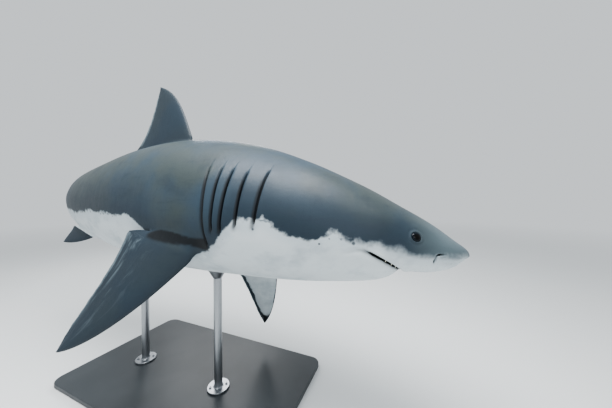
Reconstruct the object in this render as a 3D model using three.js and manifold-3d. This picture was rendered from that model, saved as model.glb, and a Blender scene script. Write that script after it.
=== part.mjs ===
// A great white shark, life size and still, on a plain display stand. Millimetres, +Z up.
// +X is the way the front of the trunk heads, +Y is the shark's left side. The origin is the
// middle of the underside of the stand's base.
//
// The body is described along its spine. A station is a place along the spine, in percent of
// the total length, from 0 at the snout to 100 at the tail tip. Cross sections, fins and cuts
// are all given in that percent, and PERCENT turns them into millimetres.
import * as THREE from "three";
import { mergeVertices } from "three/addons/utils/BufferGeometryUtils.js";
import Module from "manifold-3d";

const wasm = await Module();
wasm.setup();

// ---------- driving dimensions ----------
const TOTAL_LENGTH = 4000;
const PERCENT = TOTAL_LENGTH / 100;

// Where the spine passes the pectoral fins, measured from the origin.
const ANCHOR_STATION = 27;
const ANCHOR = { forward: 377, left: -22, height: 1000 };

// Pose of the spine, in degrees: the head looks a little left, the tail sweeps far left,
// the nose points down, and the back leans left.
const HEAD_TURN = { degrees: 5.5, to: 32 };
const TAIL_TURN = { degrees: 72.65, from: 49.63, to: 92.91 };
const NOSE_DOWN = { degrees: 7.16, rise: 5.69, from: 18, to: 62 };
const BACK_LEAN = 5.23;

// Body sections: station, height above the spine, depth below it, half width.
const BODY_SECTIONS = [
  [0, 0, 0, 0],
  [0.5, 0.72, 0.5, 0.96],
  [1.5, 1.32, 1.5, 1.71],
  [3.5, 2.47, 2.3, 2.91],
  [6, 3.66, 2.75, 4.1],
  [9, 4.98, 4.22, 5.29],
  [13, 6.45, 5.25, 6.45],
  [18, 8.05, 6.24, 7.4],
  [24, 9.43, 7.15, 8.0],
  [30, 9.99, 7.98, 8.1],
  [37, 9.95, 8.52, 7.76],
  [45, 8.84, 8.36, 7.12],
  [54, 6.79, 7.16, 5.81],
  [64, 4.68, 4.99, 3.95],
  [74, 2.6, 2.6, 2.15],
  [82, 1.74, 1.57, 1.35],
  [88, 1.3, 1.2, 0.4],
];
const SECTION_ROUNDNESS = 2.1;
const SIDES = 28;

// The lengths the body is parted into, with the number of steps in each.
const LENGTHS = [
  { name: "head", from: 0, to: 10.6, steps: 9, crowding: 1.6 },
  { name: "gill_section", from: 10.6, to: 27.4, steps: 7, crowding: 1 },
  { name: "trunk_front", from: 27.4, to: 42, steps: 5, crowding: 1 },
  { name: "trunk_rear", from: 42, to: 57, steps: 6, crowding: 1 },
  { name: "tail_front", from: 57, to: 70, steps: 6, crowding: 1 },
  { name: "tail_stalk", from: 70, to: 87, steps: 8, crowding: 1 },
];
const PART_GAP = 0.012;
const SNUG = 0.4 / PERCENT;

// Mouth: its closed line curves up from the chin to the corner, and the lips part at the chin.
const MOUTH = {
  chin: 5.85,
  chinDrop: 2.8,
  corner: 9.75,
  cornerDrop: 0.58,
  curve: 0.65,
  lips: 0.26,
  slit: 0.02,
  steps: 8,
};
const TEETH = {
  perSide: 8,
  first: 172,
  last: 122,
  inset: 0.93,
  back: 0.04,
  width: 0.17,
  rooted: 0.35,
  flatness: 0.55,
  bite: 0.5,
  clear: 0.97,
};

const EYE = { station: 5.5, round: 71.3, radius: 0.56, inset: 0.33 };
const NOSTRIL = { from: [3.55, 119], to: [3.45, 96], width: 0.24, depth: 0.3 };

// Gill slits: station and angle round the body of the upper end and of the lower end.
const GILL_SLITS = [
  { top: [19.89, 51], foot: [19.74, 90] },
  { top: [21.98, 57], foot: [21.61, 93] },
  { top: [23.67, 57], foot: [23.27, 99] },
  { top: [25.06, 58], foot: [24.26, 99] },
  { top: [26.65, 59], foot: [24.9, 112] },
];
const GILL_SLIT = { width: 0.3, depth: 0.5, steps: 5 };

// Fins upright on the back or under the belly: points are [station, height over the spine].
// lead is the front edge, inner the short free edge at the back, trail the rear edge.
const FIRST_DORSAL = {
  lead: [[36.2, 8.4], [39.3, 12.6], [40.8, 18.3], [45.9, 19.85]],
  inner: [[47.6, 7.4], [49.2, 8.2], [50.6, 8.8]],
  trail: [[50.6, 8.8], [47.6, 11.5], [47.0, 15.0], [46.05, 19.8]],
  thick: 1.25,
};
const SECOND_DORSAL = {
  lead: [[71.0, 2.3], [72.0, 3.5], [72.6, 4.5], [73.7, 4.85]],
  inner: [[73.1, 2.0], [74.4, 2.75], [75.6, 3.1]],
  trail: [[75.6, 3.1], [74.4, 3.4], [73.9, 4.0], [73.85, 4.8]],
  thick: 0.45,
};
const ANAL_FIN = {
  lead: [[72.6, -2.0], [73.7, -3.3], [74.3, -4.2], [75.5, -4.6]],
  inner: [[74.7, -1.8], [76.0, -2.5], [77.3, -2.75]],
  trail: [[77.3, -2.75], [76.1, -3.1], [75.7, -3.7], [75.65, -4.55]],
  thick: 0.45,
};
const CAUDAL_UPPER = {
  lead: [[80.6, 0.01], [84.2, 5.6], [90.5, 13.2], [99.7, 17.6]],
  inner: [[90.3, 0.01], [90.6, 0.9], [91.0, 1.6]],
  trail: [[91.0, 1.6], [92.0, 6.2], [94.6, 12.6], [99.6, 17.2]],
  thick: 1.5,
};
const CAUDAL_LOWER = {
  lead: [[81.4, -0.01], [84.4, -4.6], [88.2, -9.9], [93.4, -14.1]],
  inner: [[90.3, -0.01], [90.5, -0.6], [90.7, -1.2]],
  trail: [[90.7, -1.2], [90.6, -5.0], [91.6, -9.6], [93.5, -13.8]],
  thick: 1.3,
};
const KEEL = {
  lead: [[73.0, 1.4], [77.0, 2.4], [83.0, 3.6], [88.6, 1.0]],
  inner: [[73.1, 1.1], [80.0, 0.3], [88.3, 0.3]],
  trail: [[88.3, 0.3], [88.4, 0.5], [88.5, 0.7], [88.58, 0.95]],
  thick: 0.9,
};

// Paired fins: each hangs from a root on the body. Points are [aft, out] from the root's
// front. droop turns the fin down from level, pitch lifts its nose, swing turns its tip back.
const PECTORAL = {
  lead: [[0, 0], [1.9, 4.4], [6.1, 12.0], [10.35, 14.35]],
  inner: [[7.2, 0], [9.2, 0.2], [10.9, 1.0]],
  trail: [[10.9, 1.0], [9.4, 5.8], [11.2, 11.8], [10.55, 14.25]],
  thick: 1.5,
  sunk: 3,
};
const PECTORAL_SET = {
  right: { side: 1, station: 25.86, round: 118.9, droop: 70.2, pitch: -5, swing: 4.7 },
  left: { side: -1, station: 24.7, round: 116.8, droop: 69.9, pitch: 4.2, swing: -26.7 },
};
const PELVIC = {
  lead: [[0, 0], [1.4, 1.4], [4.0, 2.8], [6.2, 3.2]],
  inner: [[5.8, 0], [6.4, 0.1], [7.0, 0.4]],
  trail: [[7.0, 0.4], [6.4, 1.0], [6.7, 2.1], [6.35, 3.15]],
  thick: 0.7,
  sunk: 2,
};
const PELVIC_SET = {
  right: { side: 1, station: 52.5, round: 143.7, droop: 66, pitch: -3, swing: 12 },
  left: { side: -1, station: 52.5, round: 143.7, droop: 66, pitch: -3, swing: 12 },
};
const FIN_STEPS = 9;
const FIN_CHORD = [0, 0.07, 0.22, 0.45, 0.72, 1];
const FIN_EDGE = 0.035;
const TIP_THINNING = 0.78;

// Stand: a flat steel plate and two rods up to the belly. Each rod has a round flange at its
// foot and a flared pad at its top.
const BASE = { length: 1400, width: 800, thick: 25, corner: 60 };
const ROD = { radius: 22, sides: 20 };
const FLANGE = { radius: 60, thick: 10 };
const PAD = { radius: 58, neck: 24, tall: 60, into: 15 };
const ROD_STATIONS = { front: 29.5, rear: 45.5 };
const REST_GAP = 0.4;

// ---------- materials ----------
const paint = (color, roughness, metalness = 0) =>
  new THREE.MeshStandardMaterial({ color, roughness, metalness });
const HIDE_COLOUR = "#5b6770";
const BELLY_COLOUR = "#d9dedd";
const EYE_COLOUR = "#0b0d10";
const BASE_COLOUR = "#3a3d40";
const STEEL_COLOUR = "#b9bcbe";

// ---------- the spine and the skin around it ----------
const radians = THREE.MathUtils.degToRad;

// Eases from 0 to 1 as a value passes from one station to another.
function ease(station, from, to) {
  return THREE.MathUtils.smootherstep(station, from, to);
}

// Value of one column of BODY_SECTIONS at a station, on a smooth curve through the table.
// The curve runs over the square root of the station, so the snout comes out blunt.
function sectionValue(column, station) {
  const x = Math.sqrt(Math.max(station, 0));
  const at = BODY_SECTIONS.map((row) => Math.sqrt(row[0]));
  const value = BODY_SECTIONS.map((row) => row[column]);
  const last = at.length - 1;
  let i = 0;
  while (i < last - 1 && at[i + 1] <= x) i += 1;
  const slope = (k) => {
    const a = Math.max(k - 1, 0);
    const b = Math.min(k + 1, last);
    return (value[b] - value[a]) / (at[b] - at[a]);
  };
  const step = at[i + 1] - at[i];
  const t = (x - at[i]) / step;
  const near = value[i] * (2 * t ** 3 - 3 * t ** 2 + 1) + value[i + 1] * (3 * t ** 2 - 2 * t ** 3);
  return near + step * (slope(i) * (t ** 3 - 2 * t ** 2 + t) + slope(i + 1) * (t ** 3 - t ** 2));
}

// Forward, left and up directions of the spine at a station.
function bearings(station) {
  const turn = radians(
    HEAD_TURN.degrees * (1 - ease(station, 0, HEAD_TURN.to)) -
      TAIL_TURN.degrees * ease(station, TAIL_TURN.from, TAIL_TURN.to),
  );
  const climb = radians(-NOSE_DOWN.degrees + NOSE_DOWN.rise * ease(station, NOSE_DOWN.from, NOSE_DOWN.to));
  const forward = new THREE.Vector3(
    Math.cos(turn) * Math.cos(climb),
    Math.sin(turn) * Math.cos(climb),
    Math.sin(climb),
  );
  const level = new THREE.Vector3(-Math.sin(turn), Math.cos(turn), 0);
  const upright = forward.clone().cross(level);
  const lean = radians(BACK_LEAN);
  const up = upright.clone().multiplyScalar(Math.cos(lean)).addScaledVector(level, Math.sin(lean));
  const left = level.multiplyScalar(Math.cos(lean)).addScaledVector(upright, -Math.sin(lean));
  return { forward, left, up };
}

// The spine as a row of points, one every SPINE_STEP, laid out from the anchor station.
const SPINE_STEP = 0.5;
const spine = [new THREE.Vector3()];
for (let station = SPINE_STEP; station <= 100; station += SPINE_STEP) {
  const back = bearings(station - SPINE_STEP / 2).forward;
  spine.push(spine.at(-1).clone().addScaledVector(back, -SPINE_STEP * PERCENT));
}
const anchorPoint = spine[ANCHOR_STATION / SPINE_STEP].clone();
spine.forEach((point) => point.sub(anchorPoint));

function spinePoint(station) {
  const place = THREE.MathUtils.clamp(station / SPINE_STEP, 0, spine.length - 1.001);
  const i = Math.floor(place);
  return spine[i].clone().lerp(spine[i + 1], place - i);
}

// A point beside the spine: right and up are in percent.
function beside(station, right, up) {
  const { left, up: rise } = bearings(station);
  return spinePoint(station)
    .addScaledVector(left, -right * PERCENT)
    .addScaledVector(rise, up * PERCENT);
}

// Skin point at a station and an angle round the body: 0 is the back, 90 the right side.
function sectionOffset(station, round, swell = 0) {
  const angle = radians(round);
  const bulge = (v) => Math.sign(v) * Math.abs(v) ** (2 / SECTION_ROUNDNESS);
  const z = bulge(Math.cos(angle));
  const tall = sectionValue(z >= 0 ? 1 : 2, station) + swell;
  return [bulge(Math.sin(angle)) * (sectionValue(3, station) + swell), z * tall];
}

function onSkin(station, round, lift = 0) {
  const [right, up] = sectionOffset(station, round);
  const reach = Math.hypot(right, up) || 1;
  return beside(station, right * (1 + lift / reach), up * (1 + lift / reach));
}

// ---------- solids ----------
// A closed geometry through a row of rings, each with the same number of points.
function loft(rings) {
  const count = rings[0].length;
  const middle = (ring) => ring.reduce((sum, p) => sum.add(p), new THREE.Vector3()).divideScalar(count);
  const points = [...rings.flat(), middle(rings[0]), middle(rings.at(-1))];
  const triangles = [];
  const head = points.length - 2;
  for (let k = 0; k < count; k += 1) {
    const next = (k + 1) % count;
    triangles.push(head, next, k);
    for (let r = 0; r < rings.length - 1; r += 1) {
      const a = r * count;
      const b = a + count;
      triangles.push(a + k, a + next, b + k, a + next, b + next, b + k);
    }
    const end = (rings.length - 1) * count;
    triangles.push(head + 1, end + k, end + next);
  }
  return new THREE.BufferGeometry().setFromPoints(points).setIndex(triangles);
}

// A manifold-3d solid from a closed geometry, turned inside out if it came so.
function solid(geometry) {
  const bare = geometry.clone();
  bare.deleteAttribute("normal");
  bare.deleteAttribute("uv");
  const merged = mergeVertices(bare, 1e-4);
  const vertProperties = merged.attributes.position.array;
  const build = (triVerts) => new wasm.Manifold(new wasm.Mesh({ numProp: 3, vertProperties, triVerts }));
  const order = Uint32Array.from(merged.index.array);
  const made = build(order);
  return made.volume() < 0 ? build(order.slice().reverse()) : made;
}

function mesh(name, shape, material) {
  const { vertProperties, triVerts } = shape.getMesh();
  const geometry = new THREE.BufferGeometry();
  geometry.setAttribute("position", new THREE.BufferAttribute(vertProperties, 3));
  geometry.setIndex(new THREE.BufferAttribute(triVerts, 1));
  geometry.computeVertexNormals();
  const made = new THREE.Mesh(geometry, material);
  made.name = name;
  return made;
}

// ---------- body ----------
const SNOUT_START = 0.12;
function stationsOf(length) {
  const span = length.to - length.from;
  return Array.from({ length: length.steps + 1 }, (_, i) =>
    Math.max(length.from + span * (i / length.steps) ** length.crowding, SNOUT_START),
  );
}

function bodyRing(station, swell = 0) {
  return Array.from({ length: SIDES }, (_, k) => {
    const [right, up] = sectionOffset(station, (360 * k) / SIDES, swell);
    return beside(station, right, up);
  });
}

function bodyLength(length) {
  const stations = stationsOf(length);
  if (length.from > 0) stations[0] += PART_GAP / 2;
  if (length !== LENGTHS.at(-1)) stations[stations.length - 1] -= PART_GAP / 2;
  return solid(loft(stations.map((station) => bodyRing(station))));
}

// The whole body, a hair larger all round: what touches the skin is cut back with it.
const bodyStations = LENGTHS.flatMap((length, i) => stationsOf(length).slice(i ? 1 : 0));
bodyStations[bodyStations.length - 1] += PART_GAP;
const bodyMould = solid(loft(bodyStations.map((station) => bodyRing(station, SNUG))));

// ---------- fins ----------
// A fin's edge as a curve of [a, b] points.
function edgeCurve(points) {
  return new THREE.CubicBezierCurve(...points.map(([a, b]) => new THREE.Vector2(a, b)));
}

// Points along both edges of a fin, from root to tip, as pairs of [front, rear].
function finSpans(fin) {
  const lead = edgeCurve(fin.lead);
  const rear = new THREE.CurvePath();
  rear.add(new THREE.QuadraticBezierCurve(...fin.inner.map(([a, b]) => new THREE.Vector2(a, b))));
  rear.add(edgeCurve(fin.trail));
  return Array.from({ length: FIN_STEPS + 1 }, (_, i) => {
    const t = 1 - (1 - i / FIN_STEPS) ** 1.25;
    return [lead.getPointAt(t), rear.getPoint(t)];
  });
}

// Half thickness of a fin over its chord: round in front, thin behind.
function finHalf(x, thick) {
  return Math.max(1.3 * thick * Math.sqrt(x) * (1 - x), x === 0 ? 0 : FIN_EDGE);
}

// A fin lofted from its spans. place(a, b, off) puts a point of the fin, off its plane.
function finSolid(fin, place) {
  const spans = finSpans(fin);
  if (fin.sunk) {
    const inward = spans[0].map((point) => new THREE.Vector2(point.x, point.y - fin.sunk));
    spans.unshift(inward);
  }
  const rings = spans.map(([front, rear], i) => {
    const thick = fin.thick * (1 - TIP_THINNING * (i / (spans.length - 1)));
    const at = (x, sign) => {
      const point = front.clone().lerp(rear, x);
      return place(point.x, point.y, sign * finHalf(x, thick));
    };
    const over = FIN_CHORD.map((x) => at(x, 1));
    const under = FIN_CHORD.slice(1).reverse().map((x) => at(x, -1));
    return [...over, ...under];
  });
  return solid(loft(rings));
}

const medianPlace = (station, height, off) => beside(station, off, height);
const keelPlace = (side) => (station, out, off) => beside(station, side * out, off);

// Places a paired fin from its root on the body.
function pairedPlace({ side, station, round, droop, pitch, swing }) {
  const root = onSkin(station, side * round);
  const { forward, left, up } = bearings(station);
  const aft = forward.clone().negate();
  const out = left.clone().multiplyScalar(-side);
  const span = out.clone().multiplyScalar(Math.cos(radians(droop)));
  span.addScaledVector(up, -Math.sin(radians(droop)));
  const face = out.clone().multiplyScalar(Math.sin(radians(droop)));
  face.addScaledVector(up, Math.cos(radians(droop)));
  const chord = aft.multiplyScalar(Math.cos(radians(pitch))).addScaledVector(face, -Math.sin(radians(pitch)));
  const turn = radians(swing);
  const back = chord.clone().multiplyScalar(Math.cos(turn)).addScaledVector(span, -Math.sin(turn));
  const outward = chord.clone().multiplyScalar(Math.sin(turn)).addScaledVector(span, Math.cos(turn));
  const normal = outward.clone().cross(back).normalize();
  return (a, b, off) =>
    root
      .clone()
      .addScaledVector(back, a * PERCENT)
      .addScaledVector(outward, b * PERCENT)
      .addScaledVector(normal, off * PERCENT);
}

// ---------- grooves ----------
// A wedge-shaped bar lying along the skin between two places, for cutting a slit.
function slitCutter(from, to, { width, depth, steps = 3 }, side) {
  const proud = 0.4;
  const rings = Array.from({ length: steps + 1 }, (_, i) => {
    const station = THREE.MathUtils.lerp(from[0], to[0], i / steps);
    const round = side * THREE.MathUtils.lerp(from[1], to[1], i / steps);
    return [
      onSkin(station - width / 2, round, proud),
      onSkin(station + width / 2, round, proud),
      onSkin(station, round, -depth),
    ];
  });
  return solid(loft(rings));
}

// ---------- mouth ----------
// Height of the upper lip and of the lower lip over the spine, at a station.
function lipHeight(station, part) {
  const along = THREE.MathUtils.clamp((station - MOUTH.chin) / (MOUTH.corner - MOUTH.chin), 0, 1);
  const rise = (MOUTH.chinDrop - MOUTH.cornerDrop) * along ** MOUTH.curve;
  return rise - MOUTH.chinDrop - part * lipOpening(station);
}

function lipOpening(station) {
  const along = (MOUTH.corner - station) / (MOUTH.corner - MOUTH.chin);
  return MOUTH.slit + MOUTH.lips * THREE.MathUtils.clamp(along, 0, 1.2);
}

// A block right across the head, below one lip: everything the jaw can fill.
function jawBlock(part, front, back) {
  const deep = -9;
  const wide = 12;
  const lip = Array.from({ length: MOUTH.steps + 1 }, (_, i) =>
    THREE.MathUtils.lerp(MOUTH.chin, MOUTH.corner, (i / MOUTH.steps) ** 2),
  );
  const line = [front, ...lip, back].map((station) => [station, lipHeight(station, part)]);
  const outline = [[front, deep], ...line, [back, deep]];
  return solid(loft([-wide, wide].map((right) => outline.map(([s, z]) => beside(s, right, z)))));
}

// Station where the upper lip meets the skin at an angle round the body.
function lipStation(round) {
  let low = 5;
  let high = MOUTH.corner;
  for (let i = 0; i < 30; i += 1) {
    const station = (low + high) / 2;
    if (sectionOffset(station, round)[1] > lipHeight(station, 0)) low = station;
    else high = station;
  }
  return low;
}

// One flat, pointed tooth hanging from the upper lip at an angle round the head.
function tooth(round) {
  const station = lipStation(Math.abs(round));
  const [right] = sectionOffset(station, round);
  const tall = lipOpening(station) * TEETH.bite;
  const middle = beside(station + TEETH.back, right * TEETH.inset, lipHeight(station, 0) + (TEETH.rooted - tall) / 2);
  const { forward, left, up } = bearings(station);
  const shape = new THREE.ConeGeometry(TEETH.width * PERCENT, (tall + TEETH.rooted) * PERCENT, 4);
  const hanging = new THREE.Matrix4().makeBasis(forward, up.clone().negate(), left);
  const flattened = new THREE.Matrix4().makeScale(1, 1, TEETH.flatness);
  const place = new THREE.Matrix4().makeTranslation(middle).multiply(hanging).multiply(flattened);
  return solid(shape.applyMatrix4(place));
}

function toothRow() {
  return Array.from({ length: TEETH.perSide }, (_, i) =>
    THREE.MathUtils.lerp(TEETH.first, TEETH.last, i / (TEETH.perSide - 1)),
  ).flatMap((round) => [tooth(round), tooth(-round)]);
}

// ---------- assembly ----------
const shark = new THREE.Group();
shark.position.set(ANCHOR.forward, ANCHOR.left, ANCHOR.height);
const hide = () => paint(HIDE_COLOUR, 0.45);
const addPart = (name, shape, material = hide()) => shark.add(mesh(name, shape, material));
const join = (first, others) => others.reduce((sum, other) => sum.add(other), first);
const carve = (first, others) => others.reduce((rest, other) => rest.subtract(other), first);

const lengthSolids = Object.fromEntries(LENGTHS.map((length) => [length.name, bodyLength(length)]));

// Eyes, and the sockets they sit in.
const eyeBall = (side, grown) => {
  const centre = onSkin(EYE.station, side * EYE.round, -EYE.inset);
  const ball = new THREE.SphereGeometry(EYE.radius * PERCENT + grown, 14, 10);
  return solid(ball.translate(centre.x, centre.y, centre.z));
};
addPart("eye_right", eyeBall(1, 0), paint(EYE_COLOUR, 0.08));
addPart("eye_left", eyeBall(-1, 0), paint(EYE_COLOUR, 0.08));

const nostrils = [1, -1].map((side) => slitCutter(NOSTRIL.from, NOSTRIL.to, NOSTRIL, side));
const sockets = [eyeBall(1, REST_GAP), eyeBall(-1, REST_GAP)];
const skull = carve(lengthSolids.head, [...sockets, ...nostrils]);
const upperHead = skull.subtract(jawBlock(0, 4.6, 12));
const jawBack = LENGTHS[0].to - PART_GAP / 2;
const jaw = skull.intersect(jawBlock(1, MOUTH.chin - 0.05, jawBack - 0.005));
const biteRoom = jawBlock(TEETH.clear, MOUTH.chin - 0.05, jawBack);
addPart("head", join(upperHead, toothRow()).subtract(biteRoom));
addPart("lower_jaw", jaw, paint(BELLY_COLOUR, 0.45));

const gillCutters = GILL_SLITS.flatMap(({ top, foot }) =>
  [1, -1].map((side) => slitCutter(top, foot, GILL_SLIT, side)),
);
addPart("gill_section", carve(lengthSolids.gill_section, gillCutters));
addPart("trunk_front", lengthSolids.trunk_front);
addPart("trunk_rear", lengthSolids.trunk_rear);
addPart("tail_front", lengthSolids.tail_front);

// The stalk of the tail carries a keel along each side.
const keels = [1, -1].map((side) => finSolid(KEEL, keelPlace(side)));
const stalk = join(lengthSolids.tail_stalk, keels);
addPart("tail_stalk", stalk);

const keelMoulds = [1, -1].map((side) => finSolid({ ...KEEL, thick: KEEL.thick + 2 * SNUG }, keelPlace(side)));
const tailMould = join(bodyMould, keelMoulds);
const medianFins = {
  first_dorsal_fin: FIRST_DORSAL,
  second_dorsal_fin: SECOND_DORSAL,
  anal_fin: ANAL_FIN,
  caudal_fin_upper: CAUDAL_UPPER,
  caudal_fin_lower: CAUDAL_LOWER,
};
for (const [name, fin] of Object.entries(medianFins)) {
  addPart(name, finSolid(fin, medianPlace).subtract(tailMould));
}
for (const side of ["right", "left"]) {
  const pectoral = finSolid(PECTORAL, pairedPlace(PECTORAL_SET[side]));
  addPart(`pectoral_fin_${side}`, pectoral.subtract(bodyMould));
  const pelvic = finSolid(PELVIC, pairedPlace(PELVIC_SET[side]));
  addPart(`pelvic_fin_${side}`, pelvic.subtract(bodyMould));
}

// ---------- stand ----------
const stand = new THREE.Group();
const plate = new THREE.Shape();
const halfLength = BASE.length / 2;
const halfWidth = BASE.width / 2;
plate.moveTo(halfLength - BASE.corner, -halfWidth);
plate.absarc(halfLength - BASE.corner, -halfWidth + BASE.corner, BASE.corner, -Math.PI / 2, 0);
plate.absarc(halfLength - BASE.corner, halfWidth - BASE.corner, BASE.corner, 0, Math.PI / 2);
plate.absarc(-halfLength + BASE.corner, halfWidth - BASE.corner, BASE.corner, Math.PI / 2, Math.PI);
plate.absarc(-halfLength + BASE.corner, -halfWidth + BASE.corner, BASE.corner, Math.PI, 1.5 * Math.PI);
plate.closePath();
const slab = new THREE.ExtrudeGeometry(plate, { depth: BASE.thick, bevelEnabled: false, curveSegments: 6 });
stand.add(mesh("stand_base", solid(slab), paint(BASE_COLOUR, 0.5)));

// Each rod stands on the plate and ends against the belly.
const bodyInPlace = bodyMould.translate([ANCHOR.forward, ANCHOR.left, ANCHOR.height]);
const roundBar = (top, bottom, from, to) =>
  new THREE.CylinderGeometry(top, bottom, to - from, ROD.sides)
    .rotateX(Math.PI / 2)
    .translate(0, 0, (from + to) / 2);
for (const [name, station] of Object.entries(ROD_STATIONS)) {
  const belly = onSkin(station, 180).add(shark.position);
  const foot = BASE.thick + REST_GAP;
  const top = belly.z + PAD.into;
  const stages = [
    roundBar(ROD.radius, ROD.radius, foot, top),
    roundBar(FLANGE.radius, FLANGE.radius, foot, foot + FLANGE.thick),
    roundBar(PAD.radius, PAD.neck, top - PAD.tall, top),
  ];
  const rod = join(solid(stages[0]), stages.slice(1).map(solid)).translate([belly.x, belly.y, 0]);
  stand.add(mesh(`stand_rod_${name}`, rod.subtract(bodyInPlace), paint(STEEL_COLOUR, 0.3, 1)));
}

const model = new THREE.Group();
model.add(shark, stand);

export default model;
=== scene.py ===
"""A life-size great white shark in painted resin, held over a flat steel base by two rods.

Everything is in metres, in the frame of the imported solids: +X is the heading of the front of
the trunk, +Y the shark's left, +Z up. A station is a place along the spine, in percent of the
total length. An angle runs round the body in degrees: 0 is the back, 90 the right side, 180
the belly, and the left side has the same angles with a minus sign.
"""

import math

import bpy
import bmesh
import numpy as np
from mathutils import Matrix, Vector
from mathutils.kdtree import KDTree


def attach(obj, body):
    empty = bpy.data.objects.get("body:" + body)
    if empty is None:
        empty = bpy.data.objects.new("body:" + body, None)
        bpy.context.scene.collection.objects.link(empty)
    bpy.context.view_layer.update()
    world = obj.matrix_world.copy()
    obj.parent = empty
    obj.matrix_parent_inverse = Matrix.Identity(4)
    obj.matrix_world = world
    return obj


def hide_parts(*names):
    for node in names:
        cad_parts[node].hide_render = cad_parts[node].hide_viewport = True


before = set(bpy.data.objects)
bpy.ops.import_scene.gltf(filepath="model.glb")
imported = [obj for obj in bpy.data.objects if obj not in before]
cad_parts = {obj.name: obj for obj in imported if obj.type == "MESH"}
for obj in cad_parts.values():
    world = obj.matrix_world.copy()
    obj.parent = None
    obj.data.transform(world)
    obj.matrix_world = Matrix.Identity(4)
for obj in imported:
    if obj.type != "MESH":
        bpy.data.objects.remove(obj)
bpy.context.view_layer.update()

# ---------- driving dimensions, as in the solids ----------
TOTAL_LENGTH = 4.0
PERCENT = TOTAL_LENGTH / 100

# The spine: where one of its stations stands, and how it bends, in degrees and stations.
ANCHOR_STATION = 27
ANCHOR = np.array([0.377, -0.022, 1.0])
HEAD_TURN = {"degrees": 5.5, "to": 32}
TAIL_TURN = {"degrees": 72.65, "from": 49.63, "to": 92.91}
NOSE_DOWN = {"degrees": 7.16, "rise": 5.69, "from": 18, "to": 62}
BACK_LEAN = 5.23

# Body sections: station, height above the spine, depth below it, half width.
BODY_SECTIONS = np.array([
    [0, 0, 0, 0],
    [0.5, 0.72, 0.5, 0.96],
    [1.5, 1.32, 1.5, 1.71],
    [3.5, 2.47, 2.3, 2.91],
    [6, 3.66, 2.75, 4.1],
    [9, 4.98, 4.22, 5.29],
    [13, 6.45, 5.25, 6.45],
    [18, 8.05, 6.24, 7.4],
    [24, 9.43, 7.15, 8.0],
    [30, 9.99, 7.98, 8.1],
    [37, 9.95, 8.52, 7.76],
    [45, 8.84, 8.36, 7.12],
    [54, 6.79, 7.16, 5.81],
    [64, 4.68, 4.99, 3.95],
    [74, 2.6, 2.6, 2.15],
    [82, 1.74, 1.57, 1.35],
    [88, 1.3, 1.2, 0.4],
])
SECTION_ROUNDNESS = 2.1
LEAST_RADIUS = 0.5
BODY_END = 87.0

# The mouth: stations of the chin and the corner, how far each lies below the spine, the bend of
# the line between them, and the angle of the corner. No lip lies ahead of the foremost station.
MOUTH = {
    "foremost": 4.5,
    "chin": 5.85,
    "chin_drop": 2.8,
    "corner": 9.75,
    "corner_drop": 0.58,
    "curve": 0.65,
    "corner_angle": 97,
}

# The cleft between the lips: its depth, its widths, the share of its depth at the corner, the
# angles over which it opens and changes, and the shares of its width that its walls take up.
CLEFT = {
    "deep": 0.028,
    "corner": 0.0045,
    "side": 0.0115,
    "front": 0.006,
    "corner_share": 0.2,
    "opens": (-1, 5),
    "side_from": (97, 106),
    "front_from": (122, 150),
    "wall": (0.36, 0.74),
}
UPPER_LIP = {"rise": 0.003, "over": 0.008, "reach": 0.008, "lost_in_front": 0.6}
LOWER_LIP = {"set_back": 0.004, "under": 0.004, "reach": 0.012}
# Painted shade round the mouth: how far behind the lip it is darkest, its reach, and its fade past the
# corner.
LIP_SHADE = {"behind": 0.006, "reach": 0.009, "fade": (-3, 3)}
CHIN_NOTCH = {"station": 6.3, "reach": 0.6, "deep": 0.009, "from": (125, 155)}

# The upper teeth: how many on a side, over which angles, their sizes, how deep they sit in the
# gum and behind the lip, and how many degrees ahead each takes its line from.
TEETH = {
    "per_side": 9,
    "first": 174,
    "last": 112,
    "width": 0.010,
    "tall": 0.015,
    "flatness": 0.45,
    "gum": 0.009,
    "front_inset": 0.012,
    "front_from": (125, 150),
    "behind_lip": 0.003,
    "over_gum": 0.55,
    "aim": 2,
}

# The eye: its place, the half size of its opening, the ball that fits it, the cup's height over
# the skin, and how far round it the skin is divided finely and shaped.
EYE = {
    "station": 5.5,
    "angle": 71.3,
    "opening": 0.0182,
    "long": 1.05,
    "tall": 0.92,
    "gap": 0.0004,
    "bulge": 0.0085,
    "sunk": 0.0030,
    "cup_above": 0.012,
    "refined": 0.036,
    "shaped": 0.05,
}
EYE_RIM = {"roll": 0.0014, "from": 0.0004, "to": 0.0022}
EYE_LID = {"rise": 0.0011, "out": 0.0042, "reach": 0.0036}
EYE_SOCKET = {"dip": 0.0010, "out": 0.013, "reach": 0.006}
EYE_GRID = {"turns": 72, "cup_levels": 10, "cup_end": 0.05, "ball_levels": 32, "ball_end": 0.03}

# Nostril: a hooked slit, as stations and angles from its lower end, and the flap it bounds.
# middle is the point of the slit round which the skin is divided finely.
NOSTRIL_LINE = [(3.5, 119.3), (3.58, 108.9), (3.57, 100.4), (3.43, 95.5), (3.12, 93), (2.69, 92.4)]
NOSTRIL = {
    "wide": 0.0060,
    "deep": 0.018,
    "taper": (0.03, 0.35),
    "flap": (3.05, 106),
    "flap_rise": 0.0035,
    "flap_reach": 0.011,
    "refined": 0.038,
    "middle": 10,
}

# The fold that runs back from the corner of the mouth: station and angle.
LIP_FOLD_LINE = [(9.95, 97.6), (10.25, 98.5), (10.6, 99.9), (11.0, 101.6), (11.7, 104.5)]
LIP_FOLD = {"wide": 0.011, "deep": 0.005, "taper": (0.3, 0.7)}

# The edge of the snout, between its sloping side and its flat underside: station and angle.
SNOUT_EDGE = np.array([
    [0.8, 104],
    [1.4, 100.5],
    [2.6, 96],
    [3.7, 101],
    [5, 100.6],
    [5.9, 97.7],
    [6.8, 94.3],
    [8.5, 92],
])
SNOUT_FORM = {
    "from": (0.4, 1.6),
    "to": (6.5, 8.5),
    "edge_rise": 0.0032,
    "edge_spread": 8,
    "face_dip": 0.0038,
    "face_below": 17,
    "face_spread": 11,
}

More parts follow.
